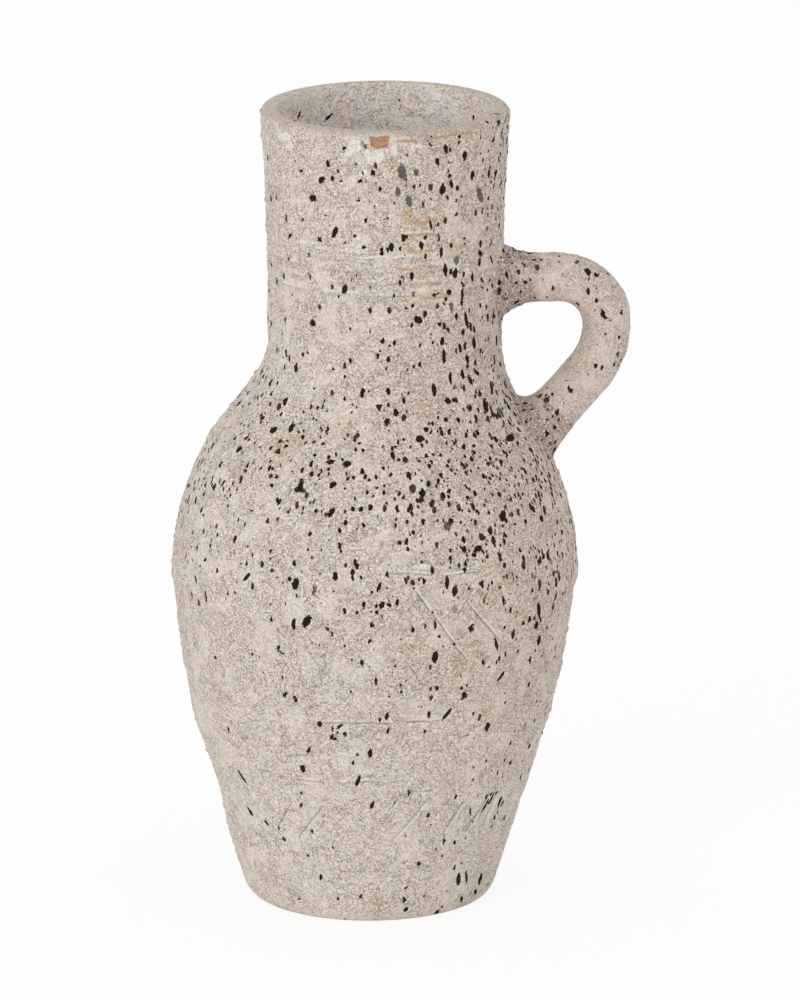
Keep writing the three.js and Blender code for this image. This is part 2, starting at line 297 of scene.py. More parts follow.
def grains(points, size, share, seed):
    """Heights from 0 to 1 of round grains, at most one in each cell of one size."""
    table = random_table(seed, 5)
    scaled = points / size
    cell = np.floor(scaled).astype(int)
    inside = scaled - cell
    height = np.zeros(points.shape[:-1])
    for step in itertools.product((-1, 0, 1), repeat=3):
        spot = table_at(table, cell + step)
        reach = SMALLEST_REACH + REACH_SPREAD * spot[..., 3]
        distance = np.linalg.norm(inside - step - spot[..., :3], axis=-1)
        grain = np.clip(1.0 - (distance / reach) ** 2, 0.0, 1.0)
        grain = grain * (LOWEST_GRAIN + (1.0 - LOWEST_GRAIN) * spot[..., 3])
        height = np.maximum(height, np.where(spot[..., 4] < share, grain, 0.0))
    return height


def hump(x, middle, width):
    return np.exp(-(((x - middle) / width) ** 2))


def turn_from(azimuth, middle):
    """The signed turn from one azimuth to another, in degrees."""
    return (azimuth - middle + 180.0) % 360.0 - 180.0


def from_front(points):
    """Degrees round the centre line from the front, towards the handle."""
    return np.degrees(np.arctan2(points[..., 0] - axis_x(points[..., 2]), -points[..., 1]))


# Coat

# How far the real wall stands off the turned outline, left and right: height, half height, rise
UNEVEN_REACH_DEG = 34.0
UNEVEN_LEFT = (
    (1.0, 4.5, -0.5), (26.0, 9.0, 0.5), (53.0, 13.0, -1.4), (84.0, 7.0, 0.6),
    (128.0, 34.0, -0.55), (228.0, 12.0, 0.4), (335.0, 12.0, -0.5),
)
UNEVEN_RIGHT = ((84.0, 9.0, 0.7), (149.0, 7.0, 0.3), (166.0, 6.0, 0.4), (195.0, 9.0, -0.7))

# The coat's relief, from wide swells to crumbs, and the plates that were wiped smooth. An edge
# holds the two values between which something grows from nothing to full, here and further on.
SWELL_SIZE = 46.0
SWELL_HEIGHT = 0.2
LUMP_SIZE = 12.0
LUMP_HEIGHT = 0.1
SANDY_LUMP_HEIGHT = 0.16
TURNING_SIZE = 5.0
TURNING_STRETCH = (0.1, 0.1, 1.0)
TURNING_HEIGHT = 0.1
CRUMB_SIZE = 4.2
CRUMB_HEIGHT = 0.28
GRAIN_SIZE = 2.9
GRAIN_SHARE = 0.5
GRAIN_HEIGHT = 0.65
TRAIL_SIZE = 9.0
TRAIL_HALF_WIDTH = 0.13
TRAIL_HEIGHT = 0.33
PLATE_SIZE = 10.0
PLATE_EDGE = (0.06, 0.3)
PLATE_GROUP_SIZE = 40.0
PLATE_GROUP_EDGE = (-0.5, 0.0)
PLATE_HEIGHT = 0.22
PLATE_WIPE = 0.75


def hand_shape(azimuth, z):
    """Where the real wall stands off the turned outline, outward."""
    shape = 0.0
    for side, rises in ((-90.0, UNEVEN_LEFT), (90.0, UNEVEN_RIGHT)):
        near = hump(turn_from(azimuth, side), 0.0, UNEVEN_REACH_DEG)
        shape += near * sum(rise * hump(z, height, half) for height, half, rise in rises)
    return shape


def coat_relief(points, sand):
    """The coat's own height over the wall, and where it was wiped smooth."""
    smooth = smoothstep(lumps(points, PLATE_SIZE, 11), *PLATE_EDGE)
    smooth *= smoothstep(lumps(points, PLATE_GROUP_SIZE, 12), *PLATE_GROUP_EDGE)
    rough = sand * (1.0 - PLATE_WIPE * smooth)
    turning = lumps(points * TURNING_STRETCH, TURNING_SIZE, 13)
    trail = np.clip(1.0 - np.abs(lumps(points, TRAIL_SIZE, 18)) / TRAIL_HALF_WIDTH, 0.0, 1.0)
    relief = SWELL_HEIGHT * lumps(points, SWELL_SIZE, 14)
    relief += (LUMP_HEIGHT + SANDY_LUMP_HEIGHT * sand) * lumps(points, LUMP_SIZE, 15)
    relief += TURNING_HEIGHT * turning * sand
    relief += CRUMB_HEIGHT * rough * lumps(points, CRUMB_SIZE, 16)
    relief += GRAIN_HEIGHT * rough * grains(points, GRAIN_SIZE, GRAIN_SHARE, 17)
    relief += TRAIL_HEIGHT * rough * trail
    relief += PLATE_HEIGHT * sand * smooth
    return relief, smooth


# The heights of broken ridges left by the turning, all round the neck
RIDGE_HEIGHTS = (306.0, 303.5, 298.0, 292.5, 287.0)
RIDGE_HALF_WIDTH = 0.8
RIDGE_RISE = 0.4
RIDGE_SWAY = 0.5
RIDGE_SWAY_SIZE = 26.0
RIDGE_BREAK_SIZE = 13.0
RIDGE_BREAK_STRETCH = (1.0, 1.0, 3.0)
RIDGE_BREAK_EDGE = (-0.35, 0.1)
HOLLOW_SHARE = 0.7
HOLLOW_OFFSET = 1.9


def turned_ridges(points):
    """1 on the crest of a ridge, and below 0 in the hollow under it."""
    sway = RIDGE_SWAY * lumps(points, RIDGE_SWAY_SIZE, 19)
    breaks = lumps(points * RIDGE_BREAK_STRETCH, RIDGE_BREAK_SIZE, 20)
    unbroken = smoothstep(breaks, *RIDGE_BREAK_EDGE)
    z = points[..., 2] + sway
    ridges = np.zeros(z.shape)
    for height in RIDGE_HEIGHTS:
        ridges += hump(z, height, RIDGE_HALF_WIDTH)
        hollow = height - HOLLOW_OFFSET * RIDGE_HALF_WIDTH
        ridges -= HOLLOW_SHARE * hump(z, hollow, RIDGE_HALF_WIDTH)
    return ridges * unbroken


# Marks on the wall, placed in the photograph's pixels

# Lines from one x, y to another, with how deep the groove is and how high the burr beside it
LINES = {
    "neck_high": (352, 259, 392, 258, 0.2, 1), "neck_high_right": (388, 259, 424, 257, 0.2, 0.9),
    "neck_second_left": (318, 262, 352, 263, 0, 0.7), "neck_second": (345, 263, 384, 262, 0.3, 1),
    "neck_second_right": (382, 262, 442, 260, 0.3, 0.8),
    "neck_third": (348, 270, 396, 267, 0.3, 0.6), "neck_left": (280, 240, 327, 244, 0, 0.6),
    "neck_left_low": (276, 282, 306, 291, 0.3, 0.5),
    "neck_low_left": (323, 293, 365, 294, 0.4, 0.3), "neck_low": (362, 296, 408, 297, 0.2, 1),
    "neck_low_right": (402, 293, 446, 289, 0.1, 0.7), "neck_ring_top": (398, 233, 444, 231, 0, 0.8),
    "belly_long": (407, 580, 473, 669, 1, 1), "belly_right": (464, 599, 504, 646, 1, 0.8),
    "belly_left": (303, 632, 323, 652, 0.6, 0.4), "belly_middle": (346, 643, 381, 678, 0.6, 0.5),
    "belly_low": (404, 658, 427, 689, 0.8, 0.4), "belly_far_left": (272, 643, 295, 678, 0.7, 0.3),
    "foot_1": (293, 799, 275, 833, 0.9, 0.4), "foot_2": (323, 806, 297, 840, 0.8, 0.6),
    "foot_3": (399, 798, 387, 814, 0.8, 0.8), "foot_4": (433, 793, 389, 845, 0.8, 0.9),
    "foot_5": (465, 800, 437, 841, 0.8, 0.9), "foot_6": (493, 786, 462, 837, 1, 1),
    "foot_7": (496, 793, 481, 831, 0.8, 0.8), "foot_left_1": (262, 795, 252, 830, 0.5, 0.9),
    "foot_left_2": (240, 778, 262, 815, 0.4, 0.6), "plate_edge": (392, 701, 440, 698, 0, 1),
    "ring_high": (310, 723, 402, 723, 0.9, 0.5), "ring_high_right": (402, 723, 458, 719, 0.7, 0.6),
    "ring_middle_left": (281, 756, 312, 755, 0.8, 0.3), "ring_middle": (335, 756, 358, 757, 0.1, 0.9),
    "ring_low_left": (258, 768, 291, 779, 0.8, 0.3), "ring_low": (291, 779, 327, 783, 0.9, 0.4),
    "ring_low_right": (327, 783, 420, 781, 0.6, 0.5), "seam_left": (242, 575, 279, 570, 0.2, 0.9),
    "seam_middle_left": (319, 575, 345, 580, 0.2, 0.9), "seam_middle": (388, 573, 440, 575, 0.5, 1),
    "seam_right": (440, 577, 481, 571, 0.5, 1), "belly_plate_edge": (440, 592, 462, 602, 0, 0.8),
}

# Scrapes through the coat that show the body, with how pink it is from 0 to 1
SCRAPES = {
    "lip_orange": (392, 141, 421, 141, 0.5), "lip_right": (423, 140, 480, 130, 0.1),
    "stain_foot": (407, 223, 437, 221, 0.1), "ring_smudge": (447, 247, 471, 245, 0),
    "ring_1": (397, 236, 442, 233, 0.1), "ring_2": (401, 252, 438, 250, 0.1),
    "ring_3_left": (395, 269, 417, 269, 0.3), "ring_3_right": (424, 268, 443, 265, 0.6),
    "ring_4": (429, 283, 440, 284, 0.9), "ring_5_left": (400, 301, 410, 301, 0.1),
    "ring_5_right": (417, 300, 456, 295, 0.8), "neck_pink": (466, 338, 480, 335, 0.6),
    "neck_tan": (472, 389, 484, 388, 0.2),
}

# Soft stains: x, y, half width, half height, turn, how salmon (0 is olive) and how strong
STAINS = {
    "lip_ochre": (331, 139, 8, 3.5, 0, 0.2, 0.6), "drop_ochre": (394, 167, 4.5, 9, 0, 0.3, 0.5),
    "drop_orange": (403, 182, 3, 3, 0, 1, 0.6), "mark_upright": (409, 216, 5, 10, 0, 0, 0.95),
    "mark_foot": (424, 221, 16, 4.5, 5, 0.2, 0.7), "collar_pink": (449, 392, 5.5, 3.5, 0, 1, 0.9),
    "shoulder_tan": (287, 446, 15, 17, 0, 0.6, 0.4),
    "shoulder_tan_left": (272, 462, 9, 8, 20, 0.5, 0.4),
    "shoulder_brown": (345, 428, 14, 9, 0, 0.6, 0.45),
    "shoulder_brown_low": (288, 468, 10, 8, 0, 0.5, 0.35),
    "shoulder_right_brown": (420, 408, 12, 9, 0, 0.7, 0.3),
    "shoulder_pink": (386, 470, 14, 9, 0, 0.8, 0.3),
    "shoulder_orange": (261, 530, 3, 3, 0, 0.8, 0.7),
    "shoulder_olive": (350, 474, 8, 5, 40, 0, 0.5), "belly_brown": (460, 663, 9, 11, 15, 0.7, 0.5),
    "belly_olive": (412, 646, 9, 5, 0, 0, 0.5), "seam_olive": (443, 575, 5, 3.5, 15, 0, 0.5),
    "seam_brown": (459, 590, 10, 8, 0, 0.5, 0.4), "side_pink": (508, 577, 12, 9, 0, 0.8, 0.4),
    "low_salmon": (340, 718, 5, 3, 0, 0.9, 0.6), "low_brown": (307, 792, 5, 5, 0, 0.6, 0.5),
    "low_pink": (304, 774, 6, 5, 0, 0.8, 0.5), "low_edge_brown": (239, 756, 4, 2.5, 0, 0.8, 0.6),
    "low_edge_olive": (237, 803, 5, 9, 0, 0.4, 0.6), "plate_olive": (387, 700, 6, 3, 0, 0, 0.5),
    "low_yellow": (343, 683, 3, 3, 0, 0.1, 0.7), "foot_brown": (379, 903, 10, 6, -20, 0.8, 0.5),
    "foot_pink": (269, 862, 3, 3, 0, 1, 0.6), "foot_edge_brown": (243, 845, 4, 8, 0, 0.6, 0.5),
}

# The largest flecks: x, y, half width, half height and turn in degrees
PLACED_FLECKS = {
    "shoulder_1": (331, 462, 5, 2.4, 10), "shoulder_2": (347, 464, 4.6, 3.2, 25),
    "shoulder_3": (300, 488, 2.6, 5.4, -15), "shoulder_4": (333, 485, 4.2, 2.8, 35),
    "shoulder_5": (332, 512, 2.6, 5, -20), "shoulder_6": (420, 439, 4.4, 3.8, 10),
    "shoulder_7": (387, 422, 2.8, 4, -10), "shoulder_8": (510, 438, 5, 3.6, 15),
    "shoulder_9": (503, 516, 2.8, 6.2, -8), "shoulder_13": (493, 540, 2.4, 4.6, 12),
    "shoulder_14": (274, 430, 4.4, 2.6, 40), "belly_1": (307, 621, 4, 6.6, -32),
    "belly_2": (296, 584, 3.6, 6, -12), "belly_3": (447, 584, 2.4, 5.2, 3),
    "belly_4": (432, 570, 2, 5, 10), "belly_5": (379, 587, 2, 5.6, -20),
    "belly_6": (397, 602, 2, 4.2, 8), "belly_7": (382, 605, 2.8, 4, -40),
    "belly_8": (372, 625, 2.6, 3.6, 20), "belly_9": (435, 657, 2.9, 7, -12),
    "belly_10": (281, 652, 1.2, 7.4, 50), "belly_11": (294, 622, 2, 5, -18),
    "belly_12": (247, 577, 1.8, 5.6, -42), "belly_14": (477, 549, 2.6, 3.8, -30),
    "belly_15": (474, 555, 2.4, 2.8, 30), "belly_16": (465, 564, 2.2, 3, 5),
    "belly_17": (424, 581, 2.2, 3.2, 0), "belly_18": (408, 549, 2, 2.8, 0),
    "belly_19": (503, 600, 1.6, 5.6, 10), "belly_20": (539, 610, 1.8, 9, 8),
    "belly_21": (537, 625, 1.6, 4.4, -15), "belly_22": (496, 644, 1.7, 7.4, 12),
    "belly_23": (483, 662, 1.6, 4, 0), "belly_24": (501, 676, 1.4, 6.4, -35),
    "belly_25": (413, 630, 1.9, 4, 0), "belly_26": (435, 625, 1.7, 4.6, 5),
    "belly_27": (464, 695, 2.8, 3.6, 10), "left_1": (196, 579, 0.9, 5.6, 10),
    "left_2": (206, 597, 0.9, 8.4, 10), "left_3": (199, 603, 0.9, 4.4, 10),
    "left_4": (242, 777, 0.9, 10, 34), "left_5": (250, 812, 1, 7, 36),
    "left_6": (266, 823, 1, 3.8, 36), "left_7": (264, 673, 1, 4, 40),
    "left_8": (286, 694, 1.4, 3.6, -15), "low_1": (333, 728, 1.6, 3.2, -8),
    "low_2": (340, 726, 3.2, 2, 30), "low_3": (338, 733, 1.7, 1.6, 0),
    "low_4": (332, 737, 1.9, 3.4, -25), "low_5": (336, 739, 3.2, 1.5, -30),
    "low_6": (447, 714, 1.6, 8, -40), "low_7": (309, 750, 1.8, 3.8, -18),
    "low_8": (370, 753, 2.5, 4.8, -6), "low_9": (380, 720, 1.6, 3, -18),
    "low_10": (388, 731, 1.4, 4, -18), "low_11": (353, 763, 1.4, 3, -10),
    "low_12": (358, 781, 2, 6.4, -20), "low_13": (372, 805, 1.9, 4.2, -22),
    "low_14": (301, 793, 1.5, 2, -20), "low_15": (301, 805, 1.5, 2.8, -28),
    "low_16": (409, 793, 1.4, 4.4, 0), "low_17": (312, 831, 1.4, 2.8, 0),
    "low_18": (470, 811, 1.1, 5.8, 5), "low_19": (484, 806, 1, 9, -28),
    "low_20": (491, 798, 1, 8, -28), "low_21": (499, 803, 1.1, 8, -20),
    "low_22": (444, 841, 1.4, 4, -8), "foot_1": (321, 877, 1.5, 3.6, -12),
    "foot_2": (404, 899, 2.1, 3.2, -5), "foot_3": (361, 896, 1.5, 2.4, -15),
    "foot_4": (338, 899, 1.5, 2, -25), "foot_5": (299, 899, 1.5, 1.6, 0),
    "foot_6": (458, 879, 2.2, 6.4, -5), "foot_7": (466, 877, 1.3, 7, 3),
    "foot_8": (480, 879, 1.4, 6, -12), "foot_9": (475, 892, 1.6, 3, -10),
    "neck_1": (322, 180, 4, 3, 35), "neck_2": (313, 198, 3.6, 3.6, 20),
    "neck_3": (335, 232, 2.5, 6.4, -18), "neck_4": (345, 289, 2.8, 4.6, -15),
    "neck_5": (391, 247, 2.6, 4.6, 0), "neck_6": (442, 189, 2.4, 6, -8),
    "neck_7": (451, 184, 2, 4.2, 5), "neck_8": (446, 149, 2.2, 4.6, 5),
    "neck_11": (412, 276, 2, 4.6, 0), "neck_12": (445, 270, 2.2, 6.4, 5),
    "neck_14": (313, 323, 4.2, 3.4, -30), "neck_15": (418, 320, 5, 3.6, -35),
    "neck_17": (437, 161, 2, 3.6, 5), "neck_18": (373, 173, 2.2, 3.8, 8),
    "neck_19": (360, 181, 2.6, 2, 25), "neck_20": (380, 189, 1.8, 3, 0),
    "neck_21": (359, 200, 1.7, 2.4, -15), "neck_22": (375, 207, 1.7, 2, 0),
    "neck_23": (366, 220, 1.5, 2.8, -5), "neck_24": (387, 219, 2.2, 1.4, 30),
    "neck_25": (320, 239, 2.2, 2.6, 0), "neck_26": (355, 236, 2.2, 1.6, -10),
    "neck_27": (364, 247, 1.8, 1.8, 0), "neck_28": (382, 253, 2, 2.4, 0),
    "neck_29": (290, 236, 1.4, 3.6, -30), "neck_30": (301, 171, 1.4, 2, -30),
    "neck_31": (344, 148, 2.4, 1.7, 25), "neck_32": (366, 146, 1.7, 2.8, 0),
    "neck_33": (341, 181, 1.5, 1.6, 0), "neck_34": (356, 164, 1.5, 1.7, 0),
    "neck_35": (407, 154, 1.5, 2, 0), "neck_36": (400, 249, 1.6, 2.4, 0),
    "neck_37": (441, 252, 1.7, 5.6, -5), "neck_38": (449, 292, 2.8, 2.8, 0),
    "neck_39": (434, 295, 2.4, 1.9, 0), "neck_41": (456, 316, 1.5, 3.8, 5),
    "neck_42": (462, 294, 1.5, 6.6, 0), "neck_43": (462, 284, 1.4, 3.4, 25),
    "neck_44": (461, 303, 1.7, 2.5, 0), "neck_45": (472, 277, 1.4, 5.6, 8),
    "neck_46": (480, 253, 1.8, 3, 20), "neck_47": (491, 260, 1, 5.8, 18),
    "neck_48": (466, 320, 1.6, 8.6, 8), "neck_49": (470, 327, 1.4, 5.4, 8),
    "neck_50": (474, 329, 1.4, 4.2, 10), "neck_51": (463, 332, 1.4, 3.8, 0),
    "neck_52": (444, 326, 1.6, 3.6, 0), "neck_53": (448, 330, 1.3, 2.8, 5),
    "neck_54": (442, 341, 2.1, 5.2, 5), "neck_55": (444, 356, 1.9, 7.2, 2),
    "neck_56": (460, 348, 1.7, 4.8, 5), "neck_57": (465, 346, 1.5, 4.6, 0),
    "neck_58": (474, 343, 2, 5.6, 5), "neck_59": (467, 359, 2.3, 4.2, 5),
    "neck_60": (467, 366, 1.6, 2.2, 0), "neck_61": (462, 374, 2.1, 5.4, 12),
    "neck_62": (470, 380, 1.6, 6, 20), "neck_63": (476, 372, 1.5, 4.8, 35),
    "neck_64": (450, 377, 1.5, 5.6, 0), "neck_65": (434, 390, 2.3, 6.6, 10),
    "neck_67": (463, 388, 1.5, 3.8, 0), "neck_68": (448, 401, 2.6, 4.2, 35),
    "neck_69": (456, 400, 1.8, 3.4, 25), "neck_70": (470, 408, 1.7, 3.6, 5),
    "neck_71": (485, 406, 2.4, 6.6, 20), "neck_72": (486, 307, 1.3, 2.6, 0),
    "neck_73": (487, 317, 1.1, 3.8, 5), "neck_74": (482, 280, 1.2, 3, 15),
}

# The slate-grey ones, the same
SLATE_FLECKS = {
    "shoulder_10": (447, 526, 4.4, 3.8, 30), "shoulder_11": (499, 412, 3.2, 4.6, 20),
    "belly_13": (315, 591, 2, 4.6, -25), "neck_drop": (402, 172, 4.2, 8, 5),
    "neck_drop_side": (416, 173, 2.6, 4, 10), "neck_9": (409, 201, 2.8, 6.6, 10),
    "neck_10": (398, 192, 2.4, 4.6, 8), "neck_13": (480, 195, 2.6, 8, 15),
    "neck_16": (456, 260, 2.6, 4.4, -10), "neck_40": (451, 307, 2.1, 5.6, 8),
    "neck_66": (454, 387, 1.8, 2.6, -10),
}

# The same on the inside of the neck, seen through the mouth
INSIDE_FLECKS = {
    "mouth_dash": (328, 117, 1.6, 7, -45), "mouth_dash_left": (299, 114, 1.1, 4.5, -25),
}

# The same on the near side of the handle and its luting
HANDLE_FLECKS = {
    "top_large": (587, 271, 4, 2.4, -18), "top_large_side": (596, 275, 2.9, 2.4, -10),
    "back_large": (603, 314, 2.5, 4.2, 12), "back_large_foot": (606, 318, 1.9, 1.8, 0),
    "back_large_side": (610, 320, 1.4, 1.4, 0), "back_right": (621, 312, 1.6, 2.3, 0),
    "back_1": (606, 334, 1.3, 2.3, 0), "back_2": (619, 337, 1.1, 2.6, 8),
    "back_3": (618, 355, 1.8, 3.1, -5), "back_4": (598, 344, 0.9, 0.9, 0),
    "back_5": (577, 372, 0.9, 0.9, 0), "back_6": (566, 381, 1.1, 0.9, 0),
    "top_1": (596, 289, 2, 1.1, 40), "top_2": (587, 292, 1.1, 1.2, 0),
    "top_3": (576, 263, 1.6, 1.1, 10), "top_4": (559, 262, 1.3, 0.9, 0),
    "top_5": (567, 274, 1.4, 1, 30), "top_6": (613, 287, 1.1, 0.9, 30),
    "root_1": (542, 279, 1.4, 2.3, 0), "root_2": (530, 279, 1.3, 2.2, 0),
    "root_3": (525, 282, 1.9, 2.2, 0), "root_4": (518, 272, 2.2, 2, -30),
    "root_5": (512, 263, 1.7, 1.7, 0), "root_6": (541, 260, 2.2, 1.1, 0),
    "root_7": (525, 267, 1.1, 1.1, 0), "root_8": (521, 291, 0.9, 2.2, -20),
    "low_large": (557, 412, 2.2, 3.8, 0), "low_side": (548, 410, 1.6, 1.6, 0),
    "low_1": (545, 407, 1.1, 1.1, 0), "low_2": (547, 420, 1.1, 1.6, 0),
    "low_3": (549, 397, 1.1, 0.9, 0),
}

# White slip, the same
PLACED_SLIP = {
    "left_of_chip": (355, 146, 8, 7, 0), "left_of_chip_low": (348, 154, 5, 4, 0),
    "under_chip_left": (369, 157, 4.5, 9, 20), "under_chip": (379, 156, 5.5, 8, -15),
    "right_of_chip": (394, 151, 4, 7, 0), "far_right_of_chip": (417, 146, 9, 2.5, 0),
    "neck_left": (364, 173, 5.5, 3.5, 10), "neck_far_left": (342, 173, 3, 2.5, 0),
    "neck_edge": (285, 137, 7, 5, -10), "neck_edge_low": (290, 146, 3, 5, 0),
    "neck_right": (392, 216, 4.5, 3.5, 0), "seam": (421, 567, 10, 3, 0),
}

# The same inside the neck
INSIDE_SLIP = {
    "mouth_plate": (437, 97, 7, 7, 0), "mouth_plate_low": (431, 108, 4, 6, 0),
    "mouth_right": (455, 107, 4, 6, 0),
}

# Smooth plates, the same
PLACED_PLATES = {
    "seam_plate": (421, 569, 13, 6, 0), "under_seam_plate": (438, 599, 14, 11, 0),
    "seam_right_plate": (487, 559, 9, 8, 0), "belly_plate": (424, 711, 30, 10, -3),
    "belly_right_plate": (500, 617, 12, 8, 0), "belly_far_right_plate": (524, 646, 8, 7, 0),
    "belly_middle_plate": (434, 641, 10, 6, 0), "shoulder_plate": (362, 441, 8, 13, 10),
    "shoulder_low_plate": (384, 509, 14, 9, 0), "low_plate": (311, 815, 12, 12, 20),
    "low_middle_plate": (363, 770, 13, 4, 0), "low_right_plate": (388, 736, 8, 6, 0),
    "low_left_plate": (260, 811, 9, 9, 0), "neck_plate": (299, 199, 9, 8, 0),
    "neck_low_plate": (309, 240, 9, 6, 0),
}

SCORE_HALF_WIDTH = 0.55
SCORE_DEPTH = 0.15
BURR_OFFSET = 0.9
BURR_HEIGHT = 0.3
BURR_HALF_WIDTH = 0.5
LINE_REACH = 3.0
LINE_FADE = 1.2
LINE_TAPER = 0.2
WAVER = 0.45
WAVER_SIZE = 8.0
FINE_WAVER = 0.2
FINE_WAVER_SIZE = 2.5

# A patch's depth in its middle, as a share of its longer half, and more for a round one
PATCH_DEPTH = 0.75
ROUND_GAIN = 1.33

MIDDLE_SAND = 0.25
OUTSIDE_SAND = 0.4
MIDDLE_SPECKS = 0.25
END_SPECKS = 1.2
END_REACH = (6.0, 21.0)
HANDLE_UNEVENNESS = 0.25
HANDLE_UNEVEN_SIZE = 19.0

# The middle of the gap in the handle's loop, and between which distances from it the sand grows
LOOP_X = 73.0
LOOP_Z = 255.0
LOOP_EDGE = (26.0, 40.0)

CHIP_X_PX = 380.0
CHIP_Y_PX = 142.0
CHIP_HALF_WIDTH_PX = 10.5
CHIP_HALF_HEIGHT_PX = 6.4
CHIP_DEPTH = 0.8
CHIP_EDGE = (-0.1, 0.7)
CHIP_RAGGEDNESS = 0.25

# The lip: how far it slopes down to the back, and where and how much it is wiped and laid darker as
# painted shade, deepest at the front right
LIP_TILT = 0.9
LIP_TILT_FROM = 20.0
LIP_WIPE = 0.75
LIP_DARK_FROM = 2.4
LIP_DARK_TO = 1.0
LIP_DARKEST_DEG = 30.0
LIP_TONE_SWING = 0.2

FOOT_BARE_EDGE = (0.2, 7.0)
ROWS_PAST_LIP = 6
INSIDE_SAND = 0.75
INSIDE_SPECKS = 0.12
SLIP_HEIGHT = 0.3
SLIP_EDGE = (-0.2, 0.6)
PLACED_PLATE_EDGE = (-0.3, 0.5)

# What a mesh carries at each point for its material
FIELDS = (
    "sand", "smooth", "relief", "specks", "inside", "lip", "ridge", "score", "groove", "burr",
    "scrape", "scrape_near", "scrape_pink", "stain", "stain_salmon", "stain_strength", "fleck",
    "slate", "slip", "chip",
)
NO_MARK = -3.0
UNMARKED = {name: NO_MARK for name in ("stain", "fleck", "slate", "slip", "chip")}
PLAIN = {"sand": 0.7, "specks": 0.5, **UNMARKED}


def on_photograph(points):
    """The pixel of the photograph, x and y, at which each point is seen."""
    down = math.radians(CAMERA_ELEVATION_DEG)
    ahead = np.array([0.0, math.cos(down), -math.sin(down)])
    up = np.array([0.0, math.sin(down), math.cos(down)])
    off_target = points - (0.0, 0.0, CAMERA_TARGET_Z)
    scale = PIXELS_PER_MM / (1.0 + off_target @ ahead / CAMERA_DISTANCE)
    x = TARGET_X_PX + scale * points[..., 0]
    y = TARGET_Y_PX - scale * (off_target @ up)
    return np.stack([x, y], -1)


def nearest_line(pixels, lines, waver):
    """For each pixel, the signed distance to the nearest line in mm, how near it is from 0 to 1,
    and that line's last values. Above a line that runs to the right the distance is positive."""
    best = np.full(pixels.shape[:-1], np.inf)
    side = np.zeros(best.shape)
    near = np.zeros(best.shape)
    rest = np.zeros((2, *best.shape))
    for from_x, from_y, to_x, to_y, *last in lines.values():
        line = np.array([to_x - from_x, to_y - from_y]) / PIXELS_PER_MM
        length = np.linalg.norm(line)
        ahead = line / length
        off_start = (pixels - (from_x, from_y)) / PIXELS_PER_MM
        run = off_start @ ahead
        across = off_start @ (ahead[1], -ahead[0]) + waver
        past = np.maximum(np.maximum(-run, run - length), 0.0)
        distance = np.hypot(across, past)
        closer = distance < best
        end = LINE_TAPER * length
        taper = smoothstep(run, 0.0, end) * smoothstep(length - run, 0.0, end)
        fade = smoothstep(LINE_REACH - np.abs(across), 0.0, LINE_FADE) * taper
        best = np.where(closer, distance, best)
        side = np.where(closer, across, side)
        near = np.where(closer, fade, near)
        rest = [np.where(closer, new, old) for new, old in zip(last, rest)]
    return side, near, *rest


def nearest_patch(pixels, seen, patches):
    """How far inside the nearest oval patch each pixel lies, in mm, and that patch's last values."""
    best = np.full(pixels.shape[:-1], NO_MARK)
    rest = np.zeros((2, *best.shape))
    for x, y, half_width, half_height, turn, *last in patches.values():
        cosine = math.cos(math.radians(turn))
        sine = math.sin(math.radians(turn))
        right = pixels[..., 0] - x
        up = y - pixels[..., 1]
        wide = (right * cosine + up * sine) / half_width
        high = (up * cosine - right * sine) / half_height
        longer = max(half_width, half_height, ROUND_GAIN * min(half_width, half_height))
        depth = (1.0 - np.hypot(wide, high)) * (longer * PATCH_DEPTH) / PIXELS_PER_MM
        rest = [np.where(depth > best, new, old) for new, old in zip(last, rest)]
        best = np.maximum(best, depth)
    return np.where(seen, best, NO_MARK), *rest


# How thickly the black specks lie: height, then left, in the middle and towards the handle
SPECK_SHARES = [
    (0.0, 0.03, 0.05, 0.35), (40.0, 0.03, 0.06, 0.35), (80.0, 0.03, 0.15, 0.25),
    (115.0, 0.05, 0.25, 0.3), (145.0, 0.1, 0.33, 0.5), (175.0, 0.5, 0.7, 1.7),
    (200.0, 1.1, 0.9, 3.0), (225.0, 1.1, 0.9, 2.2), (245.0, 0.5, 0.55, 0.9),
    (270.0, 0.2, 0.35, 0.5), (300.0, 0.1, 0.2, 0.65), (330.0, 0.08, 0.2, 1.2),
    (360.0, 0.08, 0.2, 1.1),
]
SIDE_AT = 0.75


def speck_share(azimuth, z):
    """How thickly the black specks lie: more on the shoulder and towards the handle."""
    heights, left, middle, right = np.array(SPECK_SHARES).T
    side = np.clip(np.sin(np.radians(azimuth)) / SIDE_AT, -1.0, 1.0)
    off_left = np.interp(z, heights, left) - np.interp(z, heights, middle)
    off_right = np.interp(z, heights, right) - np.interp(z, heights, middle)
    share = np.interp(z, heights, middle)
    return share + np.maximum(-side, 0.0) * off_left + np.maximum(side, 0.0) * off_right


# Meshes

def add_object(name, data):
    thing = bpy.data.objects.new(name, data)
    bpy.context.scene.collection.objects.link(thing)
    return thing


def grid_normals(points):
    """Unit normals of a grid that runs right round, outward where its rows climb."""
    ahead = np.roll(points, -1, axis=1) - np.roll(points, 1, axis=1)
    normal = np.cross(ahead, np.gradient(points, axis=0))
    return normal / np.maximum(np.linalg.norm(normal, axis=-1, keepdims=True), 1e-9)


def skin_rows():
    """The rows of the whole skin, and the first and last row of each stretch of one piece."""
    rows = []
    owners = []
    for piece, path, step in skin_spans():
        points = spaced(path, step)
        if rows:
            points = points[1:]
        rows.append(points)
        owners += [piece] * len(points)
    ranges = []
    for piece, group in itertools.groupby(enumerate(owners), key=lambda item: item[1]):
        indices = [index for index, _ in group]
        ranges.append((piece, max(indices[0] - 1, 0), indices[-1]))
    return np.vstack(rows), ranges


